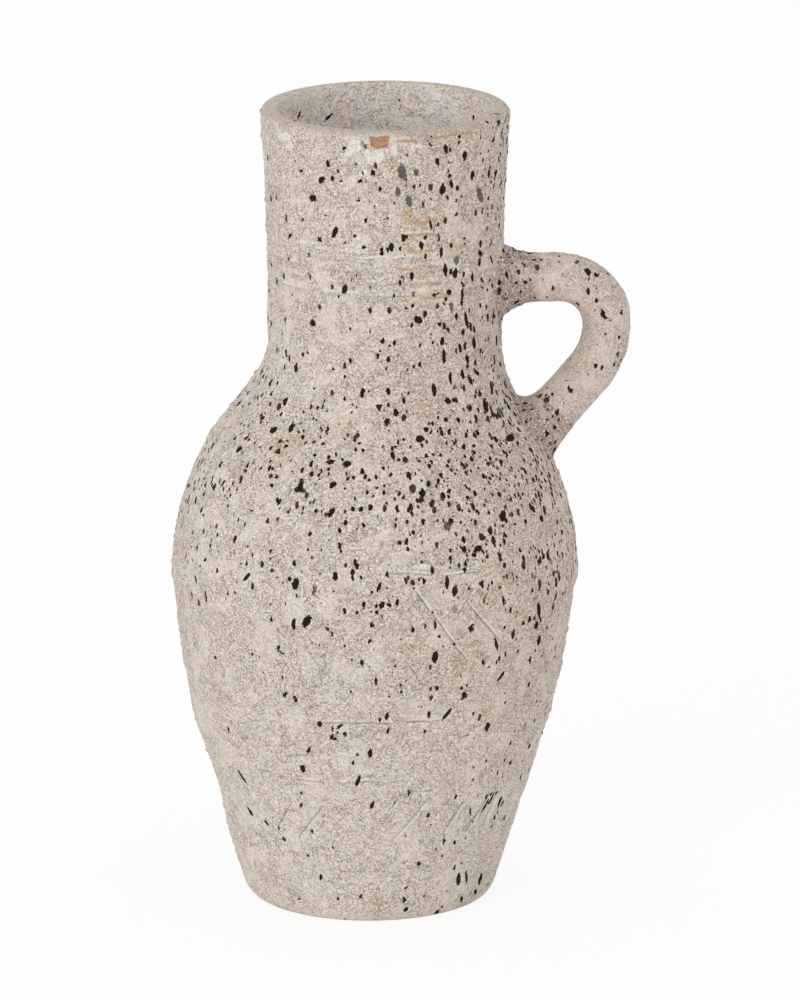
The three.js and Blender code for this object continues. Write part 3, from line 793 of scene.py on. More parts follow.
def turned(profile):
    """The rows turned round the centre line, as points and outward normals."""
    tangent = np.gradient(profile, axis=0)
    tangent /= np.linalg.norm(tangent, axis=1, keepdims=True)
    angle = np.linspace(-math.pi, math.pi, WALL_SEGMENTS, endpoint=False)
    radial = np.stack([np.cos(angle), np.sin(angle), np.zeros_like(angle)], -1)[None]
    upward = np.array([0.0, 0.0, 1.0])
    centre = np.stack([axis_x(profile[:, 1]), np.zeros(len(profile)), profile[:, 1]], -1)
    points = centre[:, None] + profile[:, None, :1] * radial
    return points, tangent[:, None, 1:] * radial - tangent[:, None, :1] * upward


def chip_depth(points, pixels):
    """How far inside the chip's rounded box each point lies, in mm."""
    wide = (pixels[..., 0] - CHIP_X_PX) / CHIP_HALF_WIDTH_PX
    high = (pixels[..., 1] - CHIP_Y_PX) / CHIP_HALF_HEIGHT_PX
    depth = 1.0 - (wide**4 + high**4) ** (1 / 4)
    depth += CHIP_RAGGEDNESS * lumps(points, FINE_WAVER_SIZE, 23)
    return np.clip(depth * CHIP_HALF_HEIGHT_PX / PIXELS_PER_MM, NO_MARK, -NO_MARK)


def placed_marks(points, outer):
    """The fields of the marks that the photograph shows, and how far inside a smooth plate, in mm,
    each point lies."""
    pixels = on_photograph(points)
    seen = (outer > 0.0) & (points[..., 1] < 0.0)
    seen_inside = (outer == 0.0) & (points[..., 1] > 0.0)
    waver = WAVER * lumps(points, WAVER_SIZE, 21)
    waver += FINE_WAVER * lumps(points, FINE_WAVER_SIZE, 22)
    score, near, groove, burr = nearest_line(pixels, LINES, waver)
    groove = groove * near * seen
    scrape, scrape_near, pinkness = nearest_line(pixels, SCRAPES, waver)
    stain, salmon, strength = nearest_patch(pixels, seen, STAINS)
    fleck, slate, slip, plate, inside_fleck, inside_slip = (
        nearest_patch(pixels, in_sight, patches)[0]
        for in_sight, patches in (
            (seen, PLACED_FLECKS), (seen, SLATE_FLECKS), (seen, PLACED_SLIP),
            (seen, PLACED_PLATES), (seen_inside, INSIDE_FLECKS), (seen_inside, INSIDE_SLIP),
        )
    )
    marks = {
        "score": np.where(groove > 0.0, score, score + BURR_OFFSET), "groove": groove,
        "burr": burr * near * seen, "scrape": scrape, "scrape_near": scrape_near * seen,
        "scrape_pink": pinkness, "stain": stain, "stain_salmon": salmon,
        "stain_strength": strength, "fleck": np.maximum(fleck, inside_fleck), "slate": slate,
        "slip": np.maximum(slip, inside_slip),
        "chip": np.where(seen, chip_depth(points, pixels), NO_MARK),
    }
    return marks, plate


def turned_skin():
    """The whole skin's points, normals and fields, and which rows belong to which piece."""
    profile, ranges = skin_rows()
    points, normal = turned(profile)
    azimuth = from_front(points)
    z = points[..., 2]
    outside = np.arange(len(profile)) <= np.argmax(profile[:, 1]) + ROWS_PAST_LIP
    outer = np.broadcast_to(outside[:, None], z.shape).astype(float)
    lip = smoothstep(z, LIP_Z - LIP_DARK_FROM, LIP_Z - LIP_DARK_TO)
    coated = smoothstep(z, *FOOT_BARE_EDGE) * outer + (1.0 - outer)
    coated *= 1.0 - LIP_WIPE * lip
    sand = coated * (INSIDE_SAND + (1.0 - INSIDE_SAND) * outer)
    relief, smooth = coat_relief(points, sand)
    ridge = turned_ridges(points) * outer
    marks, plate = placed_marks(points, outer)
    smooth = np.maximum(smooth, smoothstep(plate, *PLACED_PLATE_EDGE))

    relief = relief * coated
    relief += SLIP_HEIGHT * smoothstep(marks["slip"], *SLIP_EDGE)
    relief -= SCORE_DEPTH * hump(marks["score"], 0.0, SCORE_HALF_WIDTH) * marks["groove"]
    relief += BURR_HEIGHT * hump(marks["score"], BURR_OFFSET, BURR_HALF_WIDTH) * marks["burr"]
    relief += RIDGE_RISE * ridge
    relief -= CHIP_DEPTH * smoothstep(marks["chip"], *CHIP_EDGE)
    offset = relief + hand_shape(azimuth, z) * outer
    points = points + normal * offset[..., None]
    back = 0.5 - 0.5 * np.cos(np.radians(azimuth))
    points[..., 2] -= LIP_TILT * back * smoothstep(z, LIP_Z - LIP_TILT_FROM, LIP_Z)
    points[..., 2] = np.maximum(points[..., 2], 0.0)
    points[: ranges[0][1] + 1, :, 2] = 0.0

    # The lip's painted shade swings round it, deepest at the front right; the specks are wiped the same
    # way.
    turn = np.radians(azimuth - LIP_DARKEST_DEG)
    lip *= 1.0 - LIP_TONE_SWING + LIP_TONE_SWING * np.cos(turn)
    specks = speck_share(azimuth, z) * (INSIDE_SPECKS + (1.0 - INSIDE_SPECKS) * outer)
    fields = {
        **marks, "sand": sand, "smooth": smooth, "relief": relief, "inside": 1.0 - outer,
        "specks": specks * (1.0 - LIP_WIPE * lip), "lip": lip, "ridge": ridge,
    }
    return points, grid_normals(points), fields, ranges


class Surface:
    """Collects grids of points, with normals and fields, for one mesh."""

    def __init__(self):
        self.points = []
        self.normals = []
        self.faces = []
        self.fields = {name: [] for name in FIELDS}

    def add(self, points, normals, fields, faces):
        start = sum(len(points) for points in self.points)
        self.points.append(points.reshape(-1, 3))
        self.normals.append(np.broadcast_to(normals, points.shape).reshape(-1, 3))
        for name in FIELDS:
            values = fields.get(name, 0.0)
            self.fields[name].append(np.broadcast_to(values, points.shape[:-1]).reshape(-1))
        self.faces += (faces + start).tolist()

    def add_grid(self, points, normals, fields):
        """A grid of rows that run right round, seen from outside with the rows climbing."""
        rows, sides = points.shape[:2]
        row = np.arange(rows - 1)[:, None] * sides
        here = np.arange(sides)[None]
        following = (here + 1) % sides
        quads = [row + here, row + following, row + sides + following, row + sides + here]
        self.add(points, normals, fields, np.stack(quads, -1).reshape(-1, 4))

    def add_bands(self, *rings):
        """Plain strips from each ring to the next."""
        for ends in itertools.pairwise(rings):
            points = np.stack(ends)
            self.add_grid(points, grid_normals(points), PLAIN)

    def add_fan(self, ring, centre, normal, fields, last_ring):
        """Closes a ring with a fan round its middle point."""
        sides = len(ring)
        here = np.arange(sides)
        following = (here + 1) % sides
        middle = np.full(sides, sides)
        order = [here, following, middle] if last_ring else [following, here, middle]
        self.add(np.vstack([ring, centre]), normal, fields, np.stack(order, -1))

    def make(self, name, material, node, slot):
        mesh = bpy.data.meshes.new(name)
        points = np.vstack(self.points) * METRES
        mesh.from_pydata(points.tolist(), [], self.faces)
        mesh.shade_smooth()
        for field in FIELDS:
            attribute = mesh.attributes.new(field, "FLOAT", "POINT")
            attribute.data.foreach_set("value", np.concatenate(self.fields[field]).astype(np.float32))
        mesh.normals_split_custom_set_from_vertices(np.vstack(self.normals).tolist())
        mesh.materials.append(material)
        piece = add_object(name, mesh)
        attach(piece, "root")
        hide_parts(node)


def plain_ring(radius, z):
    angle = np.linspace(-math.pi, math.pi, WALL_SEGMENTS, endpoint=False)
    x = float(axis_x(z)) + radius * np.cos(angle)
    return np.stack([x, radius * np.sin(angle), np.full_like(angle, z)], -1)


def turned_pieces(materials):
    points, normals, fields, ranges = turned_skin()
    tongue_inner = float(inside_radius(UPPER_WALL, BODY_WALL, LEDGE_Z))
    tongue_outer = (tongue_inner + LOWER_RIM_RADIUS - JOINT_GAP) / 2
    skirt_inner = tongue_outer + JOINT_GAP
    spigot_inner = NECK_RADIUS - NECK_WALL
    spigot_outer = (spigot_inner + NECK_RADIUS - JOINT_GAP) / 2
    socket_radius = spigot_outer + JOINT_GAP

    surfaces = {name: Surface() for name in ("lower_body", "upper_body", "neck")}
    for piece, first, last in ranges:
        part = {name: values[first : last + 1] for name, values in fields.items()}
        surfaces[piece].add_grid(points[first : last + 1], normals[first : last + 1], part)

    # The hidden faces of each joint, from one row of the skin over some corners to another row
    seam, collar, socket, ledge = (points[ranges[index][2]] for index in range(4))
    for piece, start, end, corners in (
        ("lower_body", seam, ledge,
         [(tongue_outer, SEAM_Z), (tongue_outer, LEDGE_Z), (tongue_inner, LEDGE_Z)]),
        ("upper_body", collar, socket, [(socket_radius, COLLAR_Z), (socket_radius, SOCKET_Z)]),
        ("upper_body", ledge, seam, [(skirt_inner, LEDGE_Z), (skirt_inner, SEAM_Z)]),
        ("neck", socket, collar, [(spigot_outer, SOCKET_Z), (spigot_outer, COLLAR_Z)]),
    ):
        surfaces[piece].add_bands(start, *(plain_ring(*corner) for corner in corners), end)

    underside = np.array([float(axis_x(0.0)), 0.0, 0.0])
    surfaces["lower_body"].add_fan(points[0], underside, (0.0, 0.0, -1.0), PLAIN, False)
    floor = np.array([float(axis_x(FLOOR_THICKNESS)), 0.0, FLOOR_THICKNESS])
    inside = {**PLAIN, "inside": 1.0}
    surfaces["lower_body"].add_fan(points[-1], floor, (0.0, 0.0, 1.0), inside, True)
    for name, surface in surfaces.items():
        surface.make("vase_" + name, materials["coated_clay"], name, "coated_clay")


# Handle and luting

class Place(typing.NamedTuple):
    """A place on the roll: its middle, the way along it off the wall, the way out of the loop."""
    centre: np.ndarray
    along: np.ndarray
    across: np.ndarray

    def shifted(self, distance):
        return self._replace(centre=self.centre + distance * self.along)


SEAT_Z = COLLAR_Z + HANDLE_SEAT_RISE
SEAT_X = float(axis_x(SEAT_Z) + outer_radius(SEAT_Z))
BEND_Z = SEAT_Z - HANDLE_TOP_BEND
TOP_BEND_X = SEAT_X + HANDLE_STEM
BACK_BEND_X = TOP_BEND_X + HANDLE_TOP_BEND - HANDLE_BACK_BEND
BACK_ANGLE = math.radians(HANDLE_BACK_DEG)
ROLL_ANGLES = np.linspace(0.0, 2.0 * math.pi, ROLL_SEGMENTS, endpoint=False)


def on_bend(bend_x, bend_radius, angle):
    across = np.array([math.cos(angle), 0.0, math.sin(angle)])
    along = np.array([-math.sin(angle), 0.0, math.cos(angle)])
    return Place(np.array([bend_x, 0.0, BEND_Z]) + bend_radius * across, along, across)


def distance_to_wall(start, direction):
    """How far points inside the vase are from its outer wall, by halving."""
    inside = np.zeros(start.shape[:-1])
    outside = np.full(start.shape[:-1], 2.0 * (LOWER_RIM_RADIUS + SEAM_OVERHANG))
    for _ in range(HALVINGS):
        middle = 0.5 * (inside + outside)
        point = start + middle[..., None] * direction
        radius = np.hypot(point[..., 0] - axis_x(point[..., 2]), point[..., 1])
        within = radius < outer_radius(point[..., 2])
        inside = np.where(within, middle, inside)
        outside = np.where(within, outside, middle)
    return outside


def roll_ring(place, grow=0.0, angles=ROLL_ANGLES):
    across = (HANDLE_THICKNESS / 2 + grow) * np.cos(angles)
    points = place.centre + across[:, None] * place.across
    points[:, 1] += (HANDLE_WIDTH / 2 + grow) * np.sin(angles)
    return points


def wall_ring(place, grow, off_wall, angles=ROLL_ANGLES):
    """A ring of the roll carried along it until it lies off the outer wall by some distance."""
    start = roll_ring(place, grow, angles) - place.along * NECK_RADIUS / 2
    distance = distance_to_wall(start, place.along) + off_wall
    return start + distance[:, None] * place.along


def lower_handle_end():
    bend_end = on_bend(BACK_BEND_X, HANDLE_BACK_BEND, -BACK_ANGLE)
    middle = bend_end.shifted(-bend_end.centre[0] / bend_end.along[0])
    return middle.shifted(float(distance_to_wall(middle.centre[None], middle.along)[0]))


LOWER_END = lower_handle_end()
UPPER_END = Place(np.array((SEAT_X, 0.0, SEAT_Z)), np.array((1.0, 0.0, 0.0)), np.array((0.0, 0.0, 1.0)))


def evenly(first, last, step):
    count = max(1, int(round(abs(last - first) / step)))
    return np.linspace(first, last, count + 1)


def handle_rings():
    """The roll's rings from the shoulder to the neck."""
    low_tip = LOWER_END.shifted(LOWER_LUTING_REACH)
    low_ring = roll_ring(low_tip)
    low_foot = wall_ring(LOWER_END, 0.0, JOINT_GAP)
    bend_start = on_bend(BACK_BEND_X, HANDLE_BACK_BEND, -BACK_ANGLE)
    run = float(np.dot(bend_start.centre - low_tip.centre, LOWER_END.along))
    places = [low_tip.shifted(distance) for distance in evenly(0.0, run, ROLL_STEP)[1:]]
    for bend_x, radius, first, last in (
        (BACK_BEND_X, HANDLE_BACK_BEND, -BACK_ANGLE, 0.0),
        (TOP_BEND_X, HANDLE_TOP_BEND, 0.0, math.pi / 2),
    ):
        angles = evenly(first, last, ROLL_STEP / radius)[1:]
        places += [on_bend(bend_x, radius, angle) for angle in angles]
    stem = evenly(HANDLE_STEM, UPPER_LUTING_REACH, ROLL_STEP)[1:]
    places += [UPPER_END.shifted(distance) for distance in stem]
    high_ring = roll_ring(places[-1])
    high_foot = wall_ring(UPPER_END, 0.0, JOINT_GAP)
    low_shares = evenly(0.0, 1.0, ROLL_STEP / LOWER_LUTING_REACH)
    high_shares = evenly(0.0, 1.0, ROLL_STEP / UPPER_LUTING_REACH)[1:]
    rings = [low_foot + share * (low_ring - low_foot) for share in low_shares]
    rings += [roll_ring(place) for place in places]
    rings += [high_ring + share * (high_foot - high_ring) for share in high_shares]
    return np.array(rings)


def end_nearness(points):
    """1 at the wall and 0 well away from it, by how far a point is off the outer wall."""
    radius = np.hypot(points[..., 0] - axis_x(points[..., 2]), points[..., 1])
    return 1.0 - smoothstep(radius - outer_radius(points[..., 2]), *END_REACH)


def coated_grid(points):
    """A grid with the coat's relief on it, its normals and its fields. The clay is sandier and
    more speckled near the wall than in the handled middle of the roll."""
    near_wall = end_nearness(points)
    off_loop = np.hypot(points[..., 0] - LOOP_X, points[..., 2] - LOOP_Z)
    sand = MIDDLE_SAND + OUTSIDE_SAND * smoothstep(off_loop, *LOOP_EDGE)
    sand = np.maximum(sand, near_wall)
    relief, smooth = coat_relief(points, sand)
    uneven = lumps(points, HANDLE_UNEVEN_SIZE, 31)
    relief += HANDLE_UNEVENNESS * (1.0 - near_wall) * uneven
    coated = points + grid_normals(points) * relief[..., None]
    fields = {
        **PLAIN, "sand": sand, "smooth": smooth, "relief": relief,
        "specks": MIDDLE_SPECKS + (END_SPECKS - MIDDLE_SPECKS) * near_wall,
        "fleck": nearest_patch(on_photograph(points), points[..., 1] < 0.0, HANDLE_FLECKS)[0],
    }
    return coated, grid_normals(coated), fields


def handle_piece(material):
    points, normals, fields = coated_grid(handle_rings())
    surface = Surface()
    surface.add_grid(points, normals, fields)
    surface.add_fan(points[0], points[0].mean(0), -LOWER_END.along, PLAIN, False)
    surface.add_fan(points[-1], points[-1].mean(0), -UPPER_END.along, PLAIN, True)
    surface.make("vase_handle", material, "handle", "handle_clay")


def luting_piece(name, end, reach, spread_outside, spread_inside, material):
    """A hollow flare of soft clay from the wall to the roll, with both edges dipped under."""
    share = (1.0 + np.cos(ROLL_ANGLES)) / 2
    spread = spread_inside + (spread_outside - spread_inside) * share
    tip = end.shifted(reach)
    rings = []
    for t in np.linspace(0.0, 1.0, LUTING_STEPS + 1):
        s = 1.0 - t
        width = s**3 + 3 * s * s * t * (1.0 - LUTING_HOLLOW_OUT)
        rise = 3 * s * t * t * (1.0 - LUTING_HOLLOW_UP) + t**3
        foot = wall_ring(end, spread * width, 0.0)
        top = roll_ring(tip, spread * width)
        rings.append(foot + rise * (top - foot))
    rings = np.array(rings)
    # The two ends are mirror images, so the rings of one run the other way round.
    angles = ROLL_ANGLES
    if np.cross(end.along, end.across)[1] < 0:
        angles = angles[::-1]
        rings = rings[:, ::-1]
    points, normals, fields = coated_grid(rings)
    dip = np.zeros(len(rings))
    dip[[0, -1]] = LUTING_DIP
    points -= normals * dip[:, None, None]
    surface = Surface()
    surface.add_grid(points, normals, fields)
    bore_foot = wall_ring(end, -2.0 * LUTING_DIP, -LUTING_DIP, angles)
    surface.add_bands(points[-1], bore_foot, points[0])
    surface.make("vase_" + name, material, name, "luting_clay")


# Node trees

class Nodes:
    """Builds a node tree. An input is a number, a vector, a colour or another node's output."""

    def __init__(self, owner):
        owner.use_nodes = True
        self.tree = owner.node_tree
        self.tree.nodes.clear()

    def node(self, kind, inputs, **settings):
        """The outputs of a new node."""
        node = self.tree.nodes.new("ShaderNode" + kind)
        for key, value in settings.items():
            setattr(node, key, value)
        for key, value in inputs.items():
            if isinstance(value, bpy.types.NodeSocket):
                self.tree.links.new(value, node.inputs[key])
            else:
                node.inputs[key].default_value = value
        return node.outputs

    def math(self, operation, *values, clamp=False):
        inputs = dict(enumerate(values))
        return self.node("Math", inputs, operation=operation, use_clamp=clamp)[0]

    def seen_directly(self):
        """1 for rays from the camera, off glossy surfaces and through clear ones."""
        path = self.node("LightPath", {})
        seen = self.math("MAXIMUM", path["Is Camera Ray"], path["Is Glossy Ray"])
        return self.math("MAXIMUM", seen, path["Is Transmission Ray"])


def srgb(red, green, blue):
    """A colour as it is seen on screen, from 0 to 255, in Blender's linear values."""
    shares = (value / 255.0 for value in (red, green, blue))
    return (*(s / 12.92 if s <= 0.04045 else ((s + 0.055) / 1.055) ** 2.4 for s in shares), 1.0)


# Clay

# Noises: size of their lumps in mm, detail, roughness, and where in the noise they are taken
NOISES = {
    "wide": (48.0, 2.0, 0.5, (11.0, 5.0, 3.0)), "crowd": (17.0, 2.0, 0.55, (5.0, 61.0, 83.0)),
    "stain": (10.0, 5.0, 0.75, (71.0, 13.0, 29.0)), "hue": (7.0, 1.0, 0.5, (21.0, 90.0, 44.0)),
    "crack": (4.4, 1.0, 0.5, (52.0, 28.0, 9.0)), "trail": (3.6, 1.0, 0.5, (3.0, 8.0, 2.0)),
    "wobble": (1.9, 2.0, 0.5, (0.0, 0.0, 0.0)), "lumpy": (1.8, 3.0, 0.7, (17.0, 67.0, 31.0)),
    "fine": (1.1, 2.0, 0.7, (9.0, 23.0, 57.0)), "grit": (0.6, 1.0, 0.5, (83.0, 19.0, 2.0)),
}

# Specks, at most one to a cell: the cells' size, the share of cells that hold one, the smallest
# and the largest radius, how drawn out up and down, how ragged, and where they are taken
SPECKS = {
    "pits": (1.6, 0.45, 0.1, 0.4, 1.1, 0.9, (7.0, 43.0, 61.0)),
    "pale": (2.0, 0.4, 0.15, 0.7, 1.2, 0.9, (13.0, 7.0, 19.0)),
    "ochre": (3.1, 0.2, 0.2, 0.65, 1.2, 0.9, (47.0, 3.0, 5.0)),
    "blobs": (8.0, 0.12, 0.5, 1.5, 2.0, 2.0, (91.0, 17.0, 37.0)),
    "dots": (1.7, 0.42, 0.12, 0.45, 1.3, 0.8, (29.0, 31.0, 53.0)),
    "small": (2.7, 0.6, 0.3, 1.1, 1.6, 1.6, (0.0, 0.0, 0.0)),
    "large": (3.7, 0.55, 0.4, 1.5, 1.8, 1.8, (59.0, 23.0, 11.0)),
    "crowded": (3.1, 0.5, 0.35, 1.25, 1.7, 1.7, (31.0, 73.0, 47.0)),
}

# Fields as masks: how uneven the edge is made, and between which values the mask grows
MASKS = {
    "smooth": (1.2, 0.35, 0.6), "slip": (3.6, -0.1, 0.2), "slate": (3.6, -0.1, 0.15),
    "fleck": (2.2, -0.1, 0.08),
}

# The values between which a mask grows from 0 to 1
SIDE_EDGE = (-40.0, 70.0)
FOOT_PAINTED_LIGHT_EDGE = (150.0, 20.0)
HUE_EDGE = (0.35, 0.65)
BROWN_EDGE = (0.5, 0.62)
SOFT_STAIN_EDGE = (-0.9, 1.6)
BROWN_FLECK_EDGE = (0.6, 1.0)
CHIP_RIM_OUTER = (-1.6, -0.6)
CHIP_RIM_INNER = (0.2, -0.1)
CHIP_BARE_EDGE = (0.0, 0.25)

# Bands: their middle, how far they reach and how wide their core is
GROOVE_BAND = (0.0, 0.5, 0.1)
BURR_BAND = (BURR_OFFSET, 0.85, 0.3)
SCRAPE_BAND = (0.0, 1.0, 0.3)
TRAIL_BAND = (0.5, 0.035, 0.0)
CRACK_BAND = (0.5, 0.022, 0.0)

# Noises: their factor, and what is added
RIDGE_BROKEN = (2.6, -0.5)
BURR_BROKEN = (2.4, -0.2)
SCRAPE_BROKEN = (2.8, -0.5)
CROWDING = (4.0, -1.0)
BARE_SHADE = (0.9, 0.55)
FINE_STAIN = (2.0, -4.0)

# How far a noise swings a value
STAIN_SWING = 6.0
SIDE_SWING = 90.0
CHIP_SWING = 1.8

BLACK_FLECK = srgb(44, 32, 23)
BROWN_FLECK = srgb(84, 70, 58)
PALE_GRAIN = srgb(238, 232, 223)
PALE_SAND_AND_HIGHLIGHT = srgb(248, 240, 231)
DARK_SAND_AND_SHADE = srgb(122, 105, 91)
PAINTED_PIT_SHADE = srgb(128, 112, 97)
OLIVE_STAIN = srgb(206, 180, 132)
SALMON_STAIN = srgb(198, 160, 136)
ROSY_TINT = (1.025, 0.988, 0.966, 1.0)
GREENISH_TINT = (0.984, 1.004, 1.018, 1.0)
OCHRE_BODY = srgb(200, 165, 126)
SALMON_BODY = srgb(190, 150, 126)
TERRACOTTA = srgb(193, 142, 108)

# What is laid over the clay: its colour, how strongly it covers, and how far it stands out in mm
LAYERS = {
    # The inside and foot layers are painted light, paler than the clay.
    "inside": (srgb(252, 240, 232), 0.9, 0.0), "foot": (srgb(236, 226, 213), 0.8, 0.0),
    "brown": (srgb(174, 155, 134), 0.42, 0.0), "smooth": (srgb(208, 200, 189), 0.45, 0.25),
    "slip": (srgb(238, 234, 228), 0.75, 0.25), "lip": (srgb(184, 171, 160), 0.85, 0.0),
    "pits": (PAINTED_PIT_SHADE, 0.85, 0.0), "pale": (PALE_GRAIN, 0.7, 0.0),
    "ochre": (srgb(190, 160, 122), 0.25, 0.0), "trail": (PALE_GRAIN, 0.4, 0.25),
    "crack": (PAINTED_PIT_SHADE, 0.4, -0.25), "burr": (PALE_GRAIN, 0.85, 0.3),
    "blobs": (srgb(120, 115, 120), 0.6, 0.0), "dots": (BLACK_FLECK, 0.95, 0.0),
    "slate": (srgb(84, 86, 88), 0.9, 0.0), "placed": (BLACK_FLECK, 1.0, 0.0),
    "chip_rim": (PALE_GRAIN, 0.25, 0.0),
}
WIPED_SHARE = 0.45
BARE_SHARE = 0.4
GROOVE_SHADE = 0.38
GROOVE_DIP = 0.22
PIT_DIP = 0.2
FLECK_DIP = 0.1
LUMP_RISE = 1.6
GRIT_RISE = 0.4
SAND_CELL = 0.6
SAND_PLACE = (37.0, 11.0, 3.0)
SPECK_EDGE = 0.2
CROWDED_FROM = 1.0
SCRAPE_DIP = 0.2
BODY_SHOWN = 0.9

# How much each part of the coat lightens it, as grain tone and as painted highlight on crests and
# painted shade in hollows, and how that turns to pale and dark sand
LUMP_LIGHT = 0.2
GRIT_LIGHT = 1.2
SAND_LIGHT = 0.8
FINE_LIGHT = 0.35
RELIEF_PAINTED_SHADE = 0.1
INSIDE_PAINTED_LIGHT = 0.09
INSIDE_CONTRAST = 0.6
PALE_GAIN = 1.85
DARK_GAIN = 1.4

COAT_ROUGHNESS = 0.97
SMOOTHED_BY = 0.1
COAT_SPECULAR = 0.12

# The clays: the tone of their shaded side towards the handle, warmer and a little darker as painted
# shade, the tone of their lit side, and how strongly the sand's tones differ
CLAYS = {
    "coated_clay": (srgb(220, 201, 185), srgb(220, 207, 195), 1.0),
    "handle_clay": (srgb(210, 195, 185), srgb(208, 196, 187), 0.9),
    # The luting is darker and browner than the wall: a brown stain, and painted shade in the corners
    # between handle and wall.
    "luting_clay": (srgb(172, 153, 138), srgb(170, 152, 138), 1.0),
}


class Clay(Nodes):
    """Builds one clay material, whose textures all lie in the vase's own space, in mm."""

    def __init__(self, name):
        self.material = bpy.data.materials.new(name)
        super().__init__(self.material)
        place = self.node("TexCoord", {})["Object"]
        self.place = self.vector("MULTIPLY", place, (1000.0, 1000.0, 1000.0))
        self.wobble = self.vector("ADD", self.noise("wobble", "Color"), (-0.5, -0.5, -0.5))
        self.fine = self.noise("fine")
        self.height = 0.0

    def vector(self, operation, first, second):
        return self.node("VectorMath", {0: first, 1: second}, operation=operation)[0]

    def line(self, value, factor, offset, clamp=False):
        return self.math("MULTIPLY_ADD", value, factor, offset, clamp=clamp)

    def times(self, *values):
        return functools.reduce(lambda total, value: self.math("MULTIPLY", total, value), values)

    def field(self, name):
        return self.node("Attribute", {}, attribute_name=name)["Fac"]

    def noise(self, name, output=0):
        size, detail, roughness, origin = NOISES[name]
        place = self.vector("ADD", self.place, origin)
        inputs = {"Vector": place, "Scale": 1.0 / size, "Detail": detail, "Roughness": roughness}
        return self.node("TexNoise", inputs)[output]

    def cells(self, place, size):
        """The distance to the nearest seed point, in cell sizes, and three random numbers."""
        cell = self.node("TexVoronoi", {"Vector": place, "Scale": 1.0 / size})
        return cell["Distance"], self.node("SeparateColor", {0: cell["Color"]})

    def ramp(self, value, low, high):
        """0 below low and 1 above high, smoothly; the other way round if high is below low."""
        falls = high < low
        inputs = {0: value, 1: min(low, high), 2: max(low, high), 3: float(falls), 4: 1.0 - falls}
        return self.node("MapRange", inputs, interpolation_type="SMOOTHSTEP")[0]

    def band(self, value, middle, reach, core):
        """1 where a value is within its core of a middle one, and 0 beyond its reach."""
        off = self.math("ABSOLUTE", self.math("SUBTRACT", value, middle))
        return self.ramp(off, reach, core)

    def ragged(self, name, swing):
        """A field with its edges made uneven."""
        return self.math("ADD", self.field(name), self.line(self.fine, swing, -swing / 2))

    def mask(self, name):
        swing, low, high = MASKS[name]
        return self.ramp(self.ragged(name, swing), low, high)

    def broken(self, factor, offset):
        return self.line(self.fine, factor, offset, clamp=True)

    def specks(self, name, crowd=1.0):
        """Specks of random size, and a random tone for each, where they crowd more or less."""
        size, share, smallest, largest, drawn_out, ragged, origin = SPECKS[name]
        place = self.vector("MULTIPLY", self.wobble, (ragged, ragged, ragged))
        place = self.vector("ADD", self.vector("ADD", self.place, place), origin)
        place = self.vector("MULTIPLY", place, (1.0, 1.0, 1.0 / drawn_out))
        distance, numbers = self.cells(place, size)
        there = self.math("LESS_THAN", numbers[0], self.times(crowd, share))
        radius = self.line(numbers[1], (largest - smallest) / size, smallest / size)
        inside = self.math("SUBTRACT", radius, distance)
        edge = self.math("MULTIPLY", inside, size / SPECK_EDGE, clamp=True)
        return self.times(edge, there), numbers[2]

    def blend(self, share, first, second, way="MIX"):
        inputs = {0: share, 6: first, 7: second}
        return self.node("Mix", inputs, data_type="RGBA", blend_type=way)[2]

    def tint(self, factor):
        self.colour = self.blend(1.0, self.colour, factor, "MULTIPLY")

    def cover(self, share, colour):
        self.colour = self.blend(share, self.colour, colour)

    def lift(self, mask, rise):
        self.height = self.line(mask, rise, self.height)

    def lay(self, name, mask, share=1.0):
        """Lays one of the layers where a mask is."""
        colour, strength, rise = LAYERS[name]
        self.cover(self.times(mask, strength * share), colour)
        if rise:
            self.lift(mask, rise)


